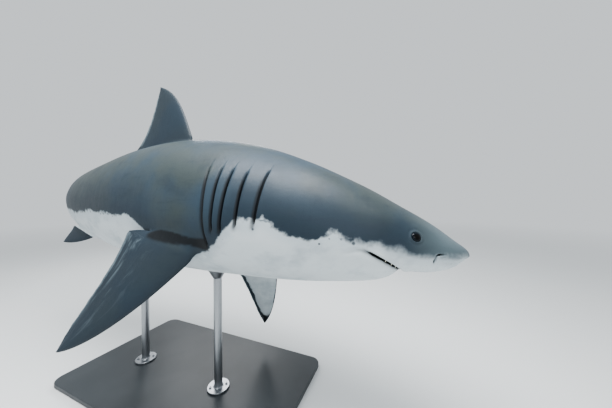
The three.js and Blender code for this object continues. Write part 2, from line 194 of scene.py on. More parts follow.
# Gill slits: station and angle of the upper end, then of the lower end.
GILL_SLITS = [
    ((19.89, 51), (19.74, 90)),
    ((21.98, 57), (21.61, 93)),
    ((23.67, 57), (23.27, 99)),
    ((25.06, 58), (24.26, 99)),
    ((26.65, 59), (24.9, 112)),
]

# A gill slit: its cut, the flap in front, the dip behind, and how each fades past its two ends.
GILL = {
    "deep": 0.021,
    "half_width": 0.0068,
    "cut_fades": ((-3, 4), (-4, 2)),
    "flap_rise": 0.0052,
    "flap_reach": 0.030,
    "dip": 0.0035,
    "dip_reach": 0.015,
    "fold_fades": ((-10, 8), (-8, 6)),
}

# The painted shade of a gill slit: how far back it is full, how far it goes, its fades past the two
# ends, and the blot at its foot.
GILL_SHADE = {"ahead": 0.004, "full": 0.008, "gone": 0.018, "fades": ((-4, 14), (-2, 3))}
GILL_BLOT = {"back": 0.006, "below": 1, "flatness": 0.7, "reach": 0.009, "strength": 0.9}

# Fins. Median fins are drawn in [station, height], paired ones in [aft, out] from their root.
FIRST_DORSAL = {
    "lead": [(36.2, 8.4), (39.3, 12.6), (40.8, 18.3), (45.9, 19.85)],
    "inner": [(47.6, 7.4), (49.2, 8.2), (50.6, 8.8)],
    "trail": [(50.6, 8.8), (47.6, 11.5), (47.0, 15.0), (46.05, 19.8)],
    "thick": 1.25,
}
SECOND_DORSAL = {
    "lead": [(71.0, 2.3), (72.0, 3.5), (72.6, 4.5), (73.7, 4.85)],
    "inner": [(73.1, 2.0), (74.4, 2.75), (75.6, 3.1)],
    "trail": [(75.6, 3.1), (74.4, 3.4), (73.9, 4.0), (73.85, 4.8)],
    "thick": 0.45,
}
ANAL_FIN = {
    "lead": [(72.6, -2.0), (73.7, -3.3), (74.3, -4.2), (75.5, -4.6)],
    "inner": [(74.7, -1.8), (76.0, -2.5), (77.3, -2.75)],
    "trail": [(77.3, -2.75), (76.1, -3.1), (75.7, -3.7), (75.65, -4.55)],
    "thick": 0.45,
}
CAUDAL_UPPER = {
    "lead": [(80.6, 0.0), (84.2, 5.6), (90.5, 13.2), (99.7, 17.6)],
    "inner": [(90.3, 0.0), (90.6, 0.9), (91.0, 1.6)],
    "trail": [(91.0, 1.6), (92.0, 6.2), (94.6, 12.6), (99.6, 17.2)],
    "thick": 1.5,
}
CAUDAL_LOWER = {
    "lead": [(81.4, 0.15), (84.4, -4.6), (88.2, -9.9), (93.4, -14.1)],
    "inner": [(90.3, 0.15), (90.5, -0.6), (90.7, -1.2)],
    "trail": [(90.7, -1.2), (90.6, -5.0), (91.6, -9.6), (93.5, -13.8)],
    "thick": 1.3,
}
KEEL = {
    "lead": [(73.0, 1.4), (77.0, 2.4), (83.0, 3.6), (88.6, 1.0)],
    "inner": [(73.1, 1.1), (80.0, 0.3), (88.3, 0.3)],
    "trail": [(88.3, 0.3), (88.4, 0.5), (88.5, 0.7), (88.58, 0.95)],
    "thick": 0.9,
}
PECTORAL = {
    "lead": [(0, 0), (1.9, 4.4), (6.1, 12.0), (10.35, 14.35)],
    "inner": [(7.2, 0), (9.2, 0.2), (10.9, 1.0)],
    "trail": [(10.9, 1.0), (9.4, 5.8), (11.2, 11.8), (10.55, 14.25)],
    "thick": 1.5,
    "sunk": 3,
}
PELVIC = {
    "lead": [(0, 0), (1.4, 1.4), (4.0, 2.8), (6.2, 3.2)],
    "inner": [(5.8, 0), (6.4, 0.1), (7.0, 0.4)],
    "trail": [(7.0, 0.4), (6.4, 1.0), (6.7, 2.1), (6.35, 3.15)],
    "thick": 0.7,
    "sunk": 2,
}
PECTORAL_RIGHT = {"side": 1, "station": 25.86, "angle": 118.9, "droop": 70.2, "pitch": -5, "swing": 4.7}
PECTORAL_LEFT = {"side": -1, "station": 24.7, "angle": 116.8, "droop": 69.9, "pitch": 4.2, "swing": -26.7}
PELVIC_RIGHT = {"side": 1, "station": 52.5, "angle": 143.7, "droop": 66, "pitch": -3, "swing": 12}
PELVIC_LEFT = {"side": -1, "station": 52.5, "angle": 143.7, "droop": 66, "pitch": -3, "swing": 12}
FIN_EDGE = 0.035
FIN_FULLNESS = 1.3
TIP_THINNING = 0.78

# Waves of the ragged rear margins: a fine one, a coarse one with its shift, and where they start.
RAGGED = {"fine": 61, "coarse": 23, "shift": 1, "from": (0.3, 0.5)}

# Paired fins: how far their dark upper face wraps round the edge, in percent.
FACE_TURN = 0.14

# Where the slate back meets the white belly: station and angle round the body.
COLOUR_EDGE = np.array([
    [0, 98], [2.6, 97], [4, 100], [5, 100], [6, 98], [6.75, 92], [7.75, 92],
    [8.5, 86], [9.75, 88], [11, 90], [12.75, 86], [14.5, 92], [16.25, 92],
    [19, 86], [19.75, 90], [21.75, 90], [22.75, 98], [23.5, 106], [24.4, 113],
    [25.6, 121], [32.6, 121], [34.2, 113], [35.75, 106], [38.75, 100], [45, 100],
    [48.75, 102], [53, 106], [62, 109], [72, 114], [80, 122], [88, 140],
])

# The near-black crescent above the root of each pectoral fin, partly a dark mark and partly painted
# shadow of the gap under the body: station, upper and lower angle, and its fades past each side and
# off the plain skin.
AXIL = np.array([
    [24.8, 107, 119],
    [26.2, 108, 114],
    [27.2, 108, 112],
    [29.0, 106, 113],
    [31.5, 106, 114],
    [34.6, 111, 114],
])
AXIL_FADES = {
    "front": (-0.4, 0.6),
    "rear": (-2, 0),
    "upper": (-1.5, 2),
    "lower": (-1, 4),
    "off": (0.05, 0.16),
}


# ---------- the spine and the skin around it ----------
def ease(value, start, end):
    """0 before start, 1 after end, and a smooth rise between."""
    t = np.clip((value - start) / (end - start), 0, 1)
    return t ** 3 * (t * (6 * t - 15) + 10)


def past(value, edge, fade):
    """0 before an edge and 1 past it. The fade starts and ends at two offsets from the edge."""
    return ease(value, edge + fade[0], edge + fade[1])


def section_sizes(station):
    """Height, depth and half width of the body, on smooth curves over the station's square root."""
    x = np.sqrt(np.maximum(station, 0))
    at = np.sqrt(BODY_SECTIONS[:, 0])
    value = BODY_SECTIONS[:, 1:]
    reach = np.zeros(len(at))
    reach[1:-1] = (at[2:] - at[:-2]) / 2
    reach[0] = at[1] - at[0]
    reach[-1] = at[-1] - at[-2]
    slope = np.gradient(value, axis=0) / reach[:, None]
    i = np.clip(np.searchsorted(at, x, side="right") - 1, 0, len(at) - 2)
    step = (at[i + 1] - at[i])[..., None]
    t = ((x - at[i]) / (at[i + 1] - at[i]))[..., None]
    ends = value[i] * (2 * t ** 3 - 3 * t ** 2 + 1) + value[i + 1] * (3 * t ** 2 - 2 * t ** 3)
    return ends + step * (slope[i] * (t ** 3 - 2 * t ** 2 + t) + slope[i + 1] * (t ** 3 - t ** 2))


def bearings(station):
    """Forward, left and up directions of the spine at each station."""
    station = np.asarray(station, float)
    turn = np.radians(
        HEAD_TURN["degrees"] * (1 - ease(station, 0, HEAD_TURN["to"]))
        - TAIL_TURN["degrees"] * ease(station, TAIL_TURN["from"], TAIL_TURN["to"])
    )
    rise = NOSE_DOWN["rise"] * ease(station, NOSE_DOWN["from"], NOSE_DOWN["to"])
    climb = np.radians(rise - NOSE_DOWN["degrees"])
    forward = np.stack([np.cos(turn) * np.cos(climb), np.sin(turn) * np.cos(climb), np.sin(climb)], -1)
    level = np.stack([-np.sin(turn), np.cos(turn), np.zeros_like(turn)], -1)
    upright = np.cross(forward, level)
    lean = math.radians(BACK_LEAN)
    up = upright * math.cos(lean) + level * math.sin(lean)
    left = level * math.cos(lean) - upright * math.sin(lean)
    return forward, left, up


SPINE_STEP = 0.1
SPINE_STATIONS = np.arange(0, 100 + SPINE_STEP / 2, SPINE_STEP)

# How a point's station is homed in on: how many times, and by what share of the way left.
HOMING = {"rounds": 8, "share": 0.8}


def lay_spine():
    """Points of the spine, one for each of SPINE_STATIONS, in place on the stand."""
    middle = bearings(SPINE_STATIONS[1:] - SPINE_STEP / 2)[0]
    points = np.vstack([[0, 0, 0], np.cumsum(-middle * SPINE_STEP * PERCENT, 0)])
    return points - points[round(ANCHOR_STATION / SPINE_STEP)] + ANCHOR


SPINE = lay_spine()


def spine_point(station):
    """The place of the spine at each station."""
    return np.stack([np.interp(station, SPINE_STATIONS, SPINE[:, k]) for k in range(3)], -1)


def beside(station, right, up):
    """A point beside the spine: right and up are in percent."""
    station, right, up = np.broadcast_arrays(np.asarray(station, float), right, up)
    _, left, rise = bearings(station)
    return spine_point(station) - left * (right * PERCENT)[..., None] + rise * (up * PERCENT)[..., None]


def bulge(value):
    """Fills a round section out towards a box, as the skin's sections are."""
    return np.sign(value) * np.abs(value) ** (2 / SECTION_ROUNDNESS)


def section_offset(station, angle):
    """How far right of the spine and above it the skin lies, in percent."""
    station, angle = np.broadcast_arrays(np.asarray(station, float), angle)
    sizes = section_sizes(station)
    turn = np.radians(angle)
    across = bulge(np.sin(turn)) * sizes[..., 2]
    tall = bulge(np.cos(turn))
    return across, tall * np.where(tall >= 0, sizes[..., 0], sizes[..., 1])


def angle_round(station, right, up):
    """The angle round the body, without its side, of places beside the spine."""
    sizes = section_sizes(station)
    tall = np.where(up >= 0, sizes[..., 0], sizes[..., 1])
    power = SECTION_ROUNDNESS / 2
    across = (np.abs(right) / np.maximum(sizes[..., 2], 1e-3)) ** power
    rise = np.sign(up) * (np.abs(up) / np.maximum(tall, 1e-3)) ** power
    return np.degrees(np.arctan2(across, rise))


def on_skin(station, angle):
    """The place of the plain skin at each station and angle."""
    return beside(station, *section_offset(station, angle))


def nearest_tree(points):
    """A lookup of the nearest of some points."""
    tree = KDTree(len(points))
    for i, point in enumerate(points):
        tree.insert(point, i)
    tree.balance()
    return tree


def unit(vector):
    """The same direction with a length of 1."""
    return vector / np.linalg.norm(vector)


def from_spine(points):
    """Station, offset right and offset up, in percent, of any points near the body."""
    tree = nearest_tree(SPINE)
    station = np.array([SPINE_STATIONS[tree.find(p)[1]] for p in points])
    for _ in range(HOMING["rounds"]):
        forward = bearings(station)[0]
        ahead = ((points - spine_point(station)) * forward).sum(-1)
        station = np.clip(station - HOMING["share"] * ahead / PERCENT, 0, 100)
    _, left, up = bearings(station)
    offset = points - spine_point(station)
    return station, -(offset * left).sum(-1) / PERCENT, (offset * up).sum(-1) / PERCENT


# ---------- mouth and gill lines ----------
LIP_HALVINGS = 30


def lip_height(station):
    """Height of the upper lip over the spine."""
    along = np.clip((station - MOUTH["chin"]) / (MOUTH["corner"] - MOUTH["chin"]), 0, 1)
    return (MOUTH["chin_drop"] - MOUTH["corner_drop"]) * along ** MOUTH["curve"] - MOUTH["chin_drop"]


def lip_station(angle):
    """Station where the upper lip runs, at each angle round the head."""
    low = np.full(np.shape(angle), MOUTH["foremost"])
    high = np.full(np.shape(angle), MOUTH["corner"])
    for _ in range(LIP_HALVINGS):
        middle = (low + high) / 2
        above = section_offset(middle, angle)[1] > lip_height(middle)
        low = np.where(above, middle, low)
        high = np.where(above, high, middle)
    return low


def slit_station(slit, angle):
    """Station of a gill slit's line at each angle, on either side of the body."""
    (top, top_angle), (foot, foot_angle) = slit
    t = np.clip((np.abs(angle) - top_angle) / (foot_angle - top_angle), 0, 1)
    return top + (foot - top) * t


def hump(value, width):
    """1 at zero, with a bell-shaped fall to both sides."""
    return np.exp(-((value / width) ** 2))


def between_ends(turn, slit, fades):
    """1 along a gill slit, with fades in degrees past its upper and lower end."""
    return past(turn, slit[0][1], fades[0]) * (1 - past(turn, slit[1][1], fades[1]))


# Soft forms of the body: station, angle, reach in stations, reach in degrees, height in metres.
SOFT_FORMS = [
    (5.1, 50, 1.4, 12, 0.004),
    (6.9, 66, 0.9, 12, -0.002),
    (2.0, 0, 1.4, 40, -0.002),
    (8.6, 62, 1.8, 16, 0.005),
    (7.6, 18, 2.0, 20, -0.004),
    (11.0, 80, 2.4, 9, -0.003),
    (9.0, 118, 1.6, 14, 0.005),
    (7.8, 150, 1.2, 22, 0.004),
    (15.0, 38, 4.0, 22, 0.005),
    (16.5, 72, 3.0, 16, 0.004),
    (21.5, 40, 5.0, 12, -0.003),
    (28.3, 84, 1.8, 30, -0.005),
    (33.0, 62, 6.0, 20, 0.004),
    (62.0, 90, 14.0, 12, 0.003),
]
TAIL_PITS = {"places": [(80.2, 0), (81.0, 180)], "deep": 0.007, "reach": 0.5, "spread": 30}


def relief(station, angle):
    """How far the skin stands out from the plain sections, in metres."""
    turn = np.abs(angle)
    out = np.zeros_like(station)
    for at, round_at, reach, spread, height in SOFT_FORMS:
        out += height * hump(station - at, reach) * hump(turn - round_at, spread)
    for at, round_at in TAIL_PITS["places"]:
        along = hump(station - at, TAIL_PITS["reach"])
        out -= TAIL_PITS["deep"] * along * hump(turn - round_at, TAIL_PITS["spread"])
    out += cleft_relief(station, turn)
    out += snout_relief(station, turn)
    for slit in GILL_SLITS:
        out += gill_relief(slit, station, turn)
    return out


def snout_relief(station, turn):
    """A soft edge along each side of the snout, and a flatter face under it."""
    below = turn - np.interp(station, SNOUT_EDGE[:, 0], SNOUT_EDGE[:, 1])
    here = ease(station, *SNOUT_FORM["from"]) * (1 - ease(station, *SNOUT_FORM["to"]))
    edge = SNOUT_FORM["edge_rise"] * hump(below, SNOUT_FORM["edge_spread"])
    face = SNOUT_FORM["face_dip"] * hump(below - SNOUT_FORM["face_below"], SNOUT_FORM["face_spread"])
    return here * (edge - face)


def behind_lip(station, turn):
    """Distance behind the line of the upper lip, in metres, square to that line, whose slant is
    taken over one degree."""
    radius = np.maximum(section_sizes(station)[..., 2], LEAST_RADIUS)
    slant = (lip_station(turn + 0.5) - lip_station(turn - 0.5)) / math.radians(1) / radius
    return (station - lip_station(turn)) * PERCENT / np.sqrt(1 + slant ** 2)


def cleft_relief(station, turn):
    """The mouth: a deep narrow cleft, with a lip above it and the jaw set back below."""
    off = behind_lip(station, turn)
    open_here = past(turn, MOUTH["corner_angle"], CLEFT["opens"])
    side = ease(turn, *CLEFT["side_from"])
    front = ease(turn, *CLEFT["front_from"])
    wide = CLEFT["corner"] + (CLEFT["side"] - CLEFT["corner"]) * side
    wide = wide + (CLEFT["front"] - CLEFT["side"]) * front
    deep = CLEFT["deep"] * (CLEFT["corner_share"] + (1 - CLEFT["corner_share"]) * side)
    inner_wall, outer_wall = CLEFT["wall"]
    cleft = -deep * (1 - ease(np.abs(off - wide / 2), wide * inner_wall, wide * outer_wall))
    upper_lip = UPPER_LIP["rise"] * hump(off + UPPER_LIP["over"], UPPER_LIP["reach"])
    upper_lip = upper_lip * (1 - UPPER_LIP["lost_in_front"] * front)
    lower_lip = -LOWER_LIP["set_back"] * hump(off - wide - LOWER_LIP["under"], LOWER_LIP["reach"]) * side
    chin = -CHIN_NOTCH["deep"] * hump(station - CHIN_NOTCH["station"], CHIN_NOTCH["reach"])
    return open_here * (cleft + upper_lip + lower_lip) + chin * ease(turn, *CHIN_NOTCH["from"]) * (off > 0)


def gill_relief(slit, station, turn):
    """One gill slit: the flap in front of it stands proud, and the skin behind dips."""
    off = (station - slit_station(slit, turn)) * PERCENT
    cut = -GILL["deep"] * (1 - ease(np.abs(off), 0, GILL["half_width"]))
    flap = GILL["flap_rise"] * np.where(off < 0, np.exp(off / GILL["flap_reach"]), 0)
    dip = -GILL["dip"] * np.where(off > 0, np.exp(-off / GILL["dip_reach"]), 0)
    cut_here = between_ends(turn, slit, GILL["cut_fades"])
    return cut_here * cut + between_ends(turn, slit, GILL["fold_fades"]) * (flap + dip)


# ---------- the body as one grid ----------
RING_POINTS = 176
CROWDING = 1.8
NOSE_CROWDING = (1.7, 1.25)

# Plain rings between the mouth, the gills and the tail, by station.
PLAIN_RINGS = {"nose": 0.004, "cheek": 12.0, "throat": 18.3, "shoulder": 29.5}


def crowded(steps, start, end):
    """Shares from 0 to 1, close together near the ends that ask for it."""
    t = np.linspace(0, 1, steps + 1)[:-1]
    if start and end:
        return (1 - np.cos(np.pi * t)) / 2
    if start:
        return t ** CROWDING
    if end:
        return 1 - (1 - t) ** CROWDING
    return t


def crowded_at_nose(steps):
    """Shares from 0 to 1, close together at the point of the nose and a little at the lips."""
    at_nose, at_lips = NOSE_CROWDING
    return 1 - (1 - np.linspace(0, 1, steps + 1)[:-1] ** at_nose) ** at_lips


def body_rows(angle):
    """Stations of every row of the body's grid. Rows run along the lips and the gill slits."""
    turn = np.abs(angle)
    nose, cheek, throat, shoulder = (station * np.ones_like(turn) for station in PLAIN_RINGS.values())
    # Each line: its stations, how many rows lead up to it, and whether rows crowd beside it.
    lines = [
        (lip_station(turn), 64, True),
        (cheek, 24, False),
        (throat, 22, False),
        *[(slit_station(slit, turn), 12, True) for slit in GILL_SLITS],
        (shoulder, 12, False),
        (BODY_END * np.ones_like(turn), 156, False),
    ]
    rows = []
    last, last_sharp = nose, False
    for line, steps, sharp in lines:
        shares = crowded_at_nose(steps) if last is nose else crowded(steps, last_sharp, sharp)
        rows += [last + (line - last) * share for share in shares]
        last, last_sharp = line, sharp
    return np.array(rows + [last])


def grid_normals(points):
    """Outward directions of a grid of points, in rings round the body."""
    along = np.gradient(points, axis=0)
    round_body = np.roll(points, -1, axis=1) - np.roll(points, 1, axis=1)
    normal = np.cross(along, round_body)
    normal /= np.maximum(np.linalg.norm(normal, axis=-1, keepdims=True), 1e-12)
    outward = points - points.mean(axis=1, keepdims=True)
    facing = (normal * outward).sum(-1, keepdims=True).mean(axis=1, keepdims=True)
    return normal * np.where(facing < 0, -1, 1)


def new_object(name, data):
    """A new object in the scene, at the origin."""
    made = bpy.data.objects.new(name, data)
    bpy.context.scene.collection.objects.link(made)
    return made


def ring_mesh(name, rings):
    """A closed piece through a row of rings of points, with both ends capped."""
    count = rings.shape[1]
    ring = [(k, (k + 1) % count) for k in range(count)]
    faces = [
        (a + k, a + n, a + count + n, a + count + k)
        for a in range(0, (len(rings) - 1) * count, count)
        for k, n in ring
    ]
    middle = len(rings) * count
    last = middle - count
    for k, n in ring:
        faces.append((middle, n, k))
        faces.append((middle + 1, last + k, last + n))
    verts = np.vstack([rings.reshape(-1, 3), rings[0].mean(0), rings[-1].mean(0)])
    mesh = bpy.data.meshes.new(name)
    mesh.from_pydata(verts.tolist(), [], faces)
    face_outward(mesh)
    return new_object(name, mesh)


def face_outward(mesh):
    """Turns every face of a closed mesh to the outside."""
    shape = bmesh.new()
    shape.from_mesh(mesh)
    bmesh.ops.recalc_face_normals(shape, faces=shape.faces)
    if shape.calc_volume(signed=True) < 0:
        bmesh.ops.reverse_faces(shape, faces=shape.faces)
    shape.to_mesh(mesh)
    shape.free()


def make_body():
    """The body without fins or eyes, as one closed form."""
    angle = np.arange(RING_POINTS) * 360 / RING_POINTS
    angle = np.where(angle > 180, angle - 360, angle)
    station = body_rows(angle)
    angle = np.broadcast_to(angle, station.shape)
    points = on_skin(station, angle)
    points = points + grid_normals(points) * relief(station, angle)[..., None]
    return ring_mesh("shark_skin", points)


# ---------- fins ----------
CURVE_SAMPLES = 80


def bezier(points):
    """A smooth curve from the first point to the last, drawn towards those between."""
    points = np.array(points, float)
    degree = len(points) - 1
    t = np.linspace(0, 1, CURVE_SAMPLES)[:, None]
    terms = [math.comb(degree, k) * (1 - t) ** (degree - k) * t ** k * p for k, p in enumerate(points)]
    return sum(terms)


def along_curve(curve, share):
    """Points of a curve at shares of its length."""
    run = np.append(0, np.cumsum(np.linalg.norm(np.diff(curve, axis=0), axis=1)))
    return np.stack([np.interp(np.asarray(share) * run[-1], run, curve[:, k]) for k in range(2)], -1)


# A fin's grid: spans from root to tip, closer together at the tip, and shares across it, closer
# together at both edges. A sunk fin has one more span inside the body.
FIN_SPANS = 40
FIN_CHORD = (1 - np.cos(np.linspace(0, np.pi, 17))) / 2
TIP_CROWDING = 1.25
SUNK_SHARE = -0.1


def fin_half(x, thick):
    """Half thickness over the chord: round in front, thin behind."""
    return np.maximum(FIN_FULLNESS * thick * np.sqrt(x) * (1 - x), np.where(x == 0, 0, FIN_EDGE))


def fin_edges(fin, share):
    """Places on the front and rear edge of a fin, at shares of their length from the root."""
    lead = along_curve(bezier(fin["lead"]), share)
    rear = along_curve(np.vstack([bezier(fin["inner"]), bezier(fin["trail"])[1:]]), share)
    return lead, rear


def make_fin(name, fin, place, ragged):
    """A fin lofted from root to tip. place(a, b, off) puts its points in the frame."""
    share = 1 - (1 - np.linspace(0, 1, FIN_SPANS + 1)) ** TIP_CROWDING
    lead, rear = fin_edges(fin, share)
    if "sunk" in fin:
        inward = np.array([0, -fin["sunk"]])
        lead = np.vstack([lead[:1] + inward, lead])
        rear = np.vstack([rear[:1] + inward, rear])
        share = np.append(SUNK_SHARE, share)
    wave = np.sin(share * RAGGED["fine"]) * np.sin(share * RAGGED["coarse"] + RAGGED["shift"])
    wave = wave * ease(share, *RAGGED["from"])
    rear = rear + np.stack([wave * ragged, 0 * wave], -1)
    thick = fin["thick"] * (1 - TIP_THINNING * np.clip(share, 0, 1))
    x = np.concatenate([FIN_CHORD, FIN_CHORD[::-1][:-1]])
    sign = np.concatenate([np.ones(len(FIN_CHORD)), -np.ones(len(FIN_CHORD) - 1)])
    flat = lead[:, None, :] * (1 - x)[None, :, None] + rear[:, None, :] * x[None, :, None]
    off = sign * fin_half(x[None, :], thick[:, None])
    return ring_mesh(name, place(flat[..., 0], flat[..., 1], off))


def median_place(station, height, off):
    """Puts a fin of the back, belly or tail in the shark's middle plane."""
    return beside(station, off, height)


def keel_place(side):
    """Puts a keel flat beside the tail stalk."""
    return lambda station, out, off: beside(station, side * out, off)


def paired_axes(seat):
    """Root point, and the fin's back, outward and face directions."""
    root = on_skin(seat["station"], seat["side"] * seat["angle"])
    forward, left, up = bearings(seat["station"])
    out = -left * seat["side"]
    droop, pitch, swing = (math.radians(seat[k]) for k in ("droop", "pitch", "swing"))
    span = out * math.cos(droop) - up * math.sin(droop)
    face = out * math.sin(droop) + up * math.cos(droop)
    chord = -forward * math.cos(pitch) - face * math.sin(pitch)
    back = chord * math.cos(swing) - span * math.sin(swing)
    outward = chord * math.sin(swing) + span * math.cos(swing)
    return root, back, outward, unit(np.cross(outward, back))


def paired_place(seat):
    """Puts a pectoral or pelvic fin on its seat."""
    root, back, outward, normal = paired_axes(seat)

    def place(a, b, off):
        across = back * np.asarray(a)[..., None] + outward * np.asarray(b)[..., None]
        return root + PERCENT * (across + normal * np.asarray(off)[..., None])

    return place


# ---------- joining the fins to the body ----------
# How a fin's root is softened: how often, how strongly, and the share of its reach that is full.
FAIRING = {"rounds": 26, "pull": 0.6, "full": 0.15}
SAME_PLACE = 1e-5


def read_points(piece, kind="co"):
    """The place of every point of a piece, or its normal."""
    flat = np.zeros(len(piece.data.vertices) * 3, np.float32)
    piece.data.vertices.foreach_get(kind, flat)
    return flat.reshape(-1, 3).astype(float)


def move_points(piece, points):
    """Puts the points of a piece where a list says."""
    piece.data.vertices.foreach_set("co", points.astype(np.float32).ravel())
    piece.data.update()


def bake_modifiers(piece):
    """Makes what a piece's modifiers do part of its mesh."""
    seen = piece.evaluated_get(bpy.context.evaluated_depsgraph_get())
    mesh = bpy.data.meshes.new_from_object(seen)
    piece.modifiers.clear()
    piece.data = mesh


def combine(piece, operation, tool):
    """Joins one closed piece to another (UNION), or cuts it away (DIFFERENCE)."""
    step = piece.modifiers.new("combine", "BOOLEAN")
    step.operation = operation
    step.solver = "MANIFOLD"
    step.object = tool
    bake_modifiers(piece)


def fair_joint(body, fin, reach):
    """Joins a fin and softens the crease round its root, out to the given reach."""
    known = nearest_tree(np.vstack([read_points(body), read_points(fin)]))
    combine(body, "UNION", fin)
    bpy.data.objects.remove(fin)
    points = read_points(body)
    crease = nearest_tree([p for p in points if known.find(p)[2] > SAME_PLACE])
    far = np.array([crease.find(p)[2] for p in points])
    weight = 1 - ease(far, FAIRING["full"] * reach, reach)
    edges = np.zeros(len(body.data.edges) * 2, np.int32)
    body.data.edges.foreach_get("vertices", edges)
    a, b = edges.reshape(-1, 2).T
    near = (weight[a] > 0) | (weight[b] > 0)
    a, b = a[near], b[near]
    degree = np.bincount(np.append(a, b), minlength=len(points))
    for _ in range(FAIRING["rounds"]):
        total = np.zeros_like(points)
        np.add.at(total, a, points[b])
        np.add.at(total, b, points[a])
        mean = total / np.maximum(degree, 1)[:, None]
        points += (FAIRING["pull"] * weight * (degree > 0))[:, None] * (mean - points)
    move_points(body, points)


def make_skin():
    """The body with all its fins grown into it, as one skin."""
    skin = make_body()
    # Each fin: its name, shape and place, how ragged its rear margin is, and how far its root
    # is softened into the body.
    fins = [
        ("first_dorsal", FIRST_DORSAL, median_place, 0.06, 0.040),
        ("second_dorsal", SECOND_DORSAL, median_place, 0, 0.012),
        ("anal", ANAL_FIN, median_place, 0, 0.012),
        ("keel_right", KEEL, keel_place(1), 0, 0.014),
        ("keel_left", KEEL, keel_place(-1), 0, 0.014),
        ("caudal_upper", CAUDAL_UPPER, median_place, 0.05, 0.030),
        ("caudal_lower", CAUDAL_LOWER, median_place, 0.05, 0.025),
        ("pectoral_right", PECTORAL, paired_place(PECTORAL_RIGHT), 0.05, 0.050),
        ("pectoral_left", PECTORAL, paired_place(PECTORAL_LEFT), 0.05, 0.050),
        ("pelvic_right", PELVIC, paired_place(PELVIC_RIGHT), 0.03, 0.018),
        ("pelvic_left", PELVIC, paired_place(PELVIC_LEFT), 0.03, 0.018),
    ]
    for name, fin, place, ragged, reach in fins:
        fair_joint(skin, make_fin(name, fin, place, ragged), reach)
    return skin


# ---------- close work round the eyes and nostrils ----------
EYE_PROBE = {"station": 0.3, "angle": 3}
REFINING = {"cuts": 3, "smooth": 0.4}


def eye_seat(side):
    """Middle of the eye's opening on the skin, and its outward, forward and upright directions."""

    def beside_eye(back, down):
        return on_skin(EYE["station"] + back, side * (EYE["angle"] + down))

    middle = beside_eye(0, 0)
    ahead = beside_eye(-EYE_PROBE["station"], 0) - beside_eye(EYE_PROBE["station"], 0)
    below = beside_eye(0, EYE_PROBE["angle"]) - beside_eye(0, -EYE_PROBE["angle"])
    facing = unit(np.cross(ahead, below))
    facing = facing * np.sign(facing @ (middle - spine_point(EYE["station"])))
    ahead = unit(ahead)
    return middle, facing, ahead, np.cross(facing, ahead)


def across_eye(offset, ahead, upright):
    """Distance from the middle of the eye, measured so that its oval opening counts as round."""
    return np.hypot((offset @ ahead) / EYE["long"], (offset @ upright) / EYE["tall"])


LINE_POINTS = 24
LINE_SOFTENING = [0.1, 0.2, 0.4, 0.2, 0.1]


def skin_line(places, side):
    """A smooth line on the skin through places given as stations and angles."""
    places = np.array(places, float)
    at = np.linspace(0, 1, len(places))
    t = np.linspace(0, 1, LINE_POINTS)
    soft = []
    for k in range(2):
        straight = np.pad(np.interp(t, at, places[:, k]), len(LINE_SOFTENING) // 2, mode="edge")
        soft.append(np.convolve(straight, LINE_SOFTENING, "valid"))
    return on_skin(soft[0], side * soft[1])


def refine(piece, centre, reach):
    """Divides the faces within reach of a point more finely."""
    shape = bmesh.new()
    shape.from_mesh(piece.data)
    near = [f for f in shape.faces if (f.calc_center_median() - Vector(centre)).length < reach]
    edges = list({e for f in near for e in f.edges})
    bmesh.ops.subdivide_edges(shape, edges=edges, use_grid_fill=True, **REFINING)
    shape.to_mesh(piece.data)
    shape.free()


def nearest_segment(points, starts, runs):
    """For each point, how far the nearest of some segments is, which it is, and the share along it."""
    best = np.full(len(points), np.inf)
    which = np.zeros(len(points), int)
    along = np.zeros(len(points))
    for i, (start, run) in enumerate(zip(starts, runs)):
        t = np.clip((points - start) @ run / (run @ run), 0, 1)
        far = np.linalg.norm(points - start - t[:, None] * run, axis=1)
        nearer = far < best
        best = np.where(nearer, far, best)
        which = np.where(nearer, i, which)
        along = np.where(nearer, t, along)
    return best, which, along


def eye_form(name, side, profile):
    """A closed form round the axis of an eye, through pairs of radius and height over the skin."""
    middle, facing, ahead, upright = eye_seat(side)
    turns = np.arange(EYE_GRID["turns"]) * 2 * np.pi / EYE_GRID["turns"]
    rim = EYE["long"] * np.cos(turns)[:, None] * ahead + EYE["tall"] * np.sin(turns)[:, None] * upright
    return ring_mesh(name, np.array([middle + height * facing + radius * rim for radius, height in profile]))


def sink_eyes(skin):
    """A lid round each eye, rolled in at its rim, and the cup that holds the eyeball."""
    opening = EYE["opening"]
    deep = EYE["bulge"] + EYE["gap"]
    bowl = np.linspace(0, np.pi / 2 - EYE_GRID["cup_end"], EYE_GRID["cup_levels"])
    profile = [(opening, EYE["cup_above"])]
    profile += [(opening * math.cos(a), -EYE["sunk"] - deep * math.sin(a)) for a in bowl]
    for side in (1, -1):
        middle, facing, ahead, upright = eye_seat(side)
        refine(skin, middle, EYE["refined"])
        points = read_points(skin)
        offset = points - middle
        far = across_eye(offset, ahead, upright)
        near = np.abs(offset @ facing) < EYE["shaped"]
        roll = -EYE_RIM["roll"] * (1 - ease(far, opening - EYE_RIM["from"], opening + EYE_RIM["to"]))
        lid = EYE_LID["rise"] * hump(far - opening - EYE_LID["out"], EYE_LID["reach"])
        dip = -EYE_SOCKET["dip"] * hump(far - opening - EYE_SOCKET["out"], EYE_SOCKET["reach"])
        points += (near * (roll + lid + dip))[:, None] * facing
        move_points(skin, points)
        cup = eye_form("eye_cup", side, profile)
        combine(skin, "DIFFERENCE", cup)
        bpy.data.objects.remove(cup)


def press_line(skin, line, wide, deep, taper):
    """Presses a slit of the given width and depth into the skin, tapered at its two ends."""
    points = read_points(skin)
    far, which, along = nearest_segment(points, line[:-1], np.diff(line, axis=0))
    share = (which + along) / (len(line) - 1)
    start, end = taper
    tapered = ease(share, -0.5 * start, start) * (1 - ease(share, 1 - end, 1 + 0.5 * end))
    slit = deep * (1 - ease(far, wide * 0.25, wide)) * tapered
    move_points(skin, points - slit[:, None] * read_points(skin, "normal"))


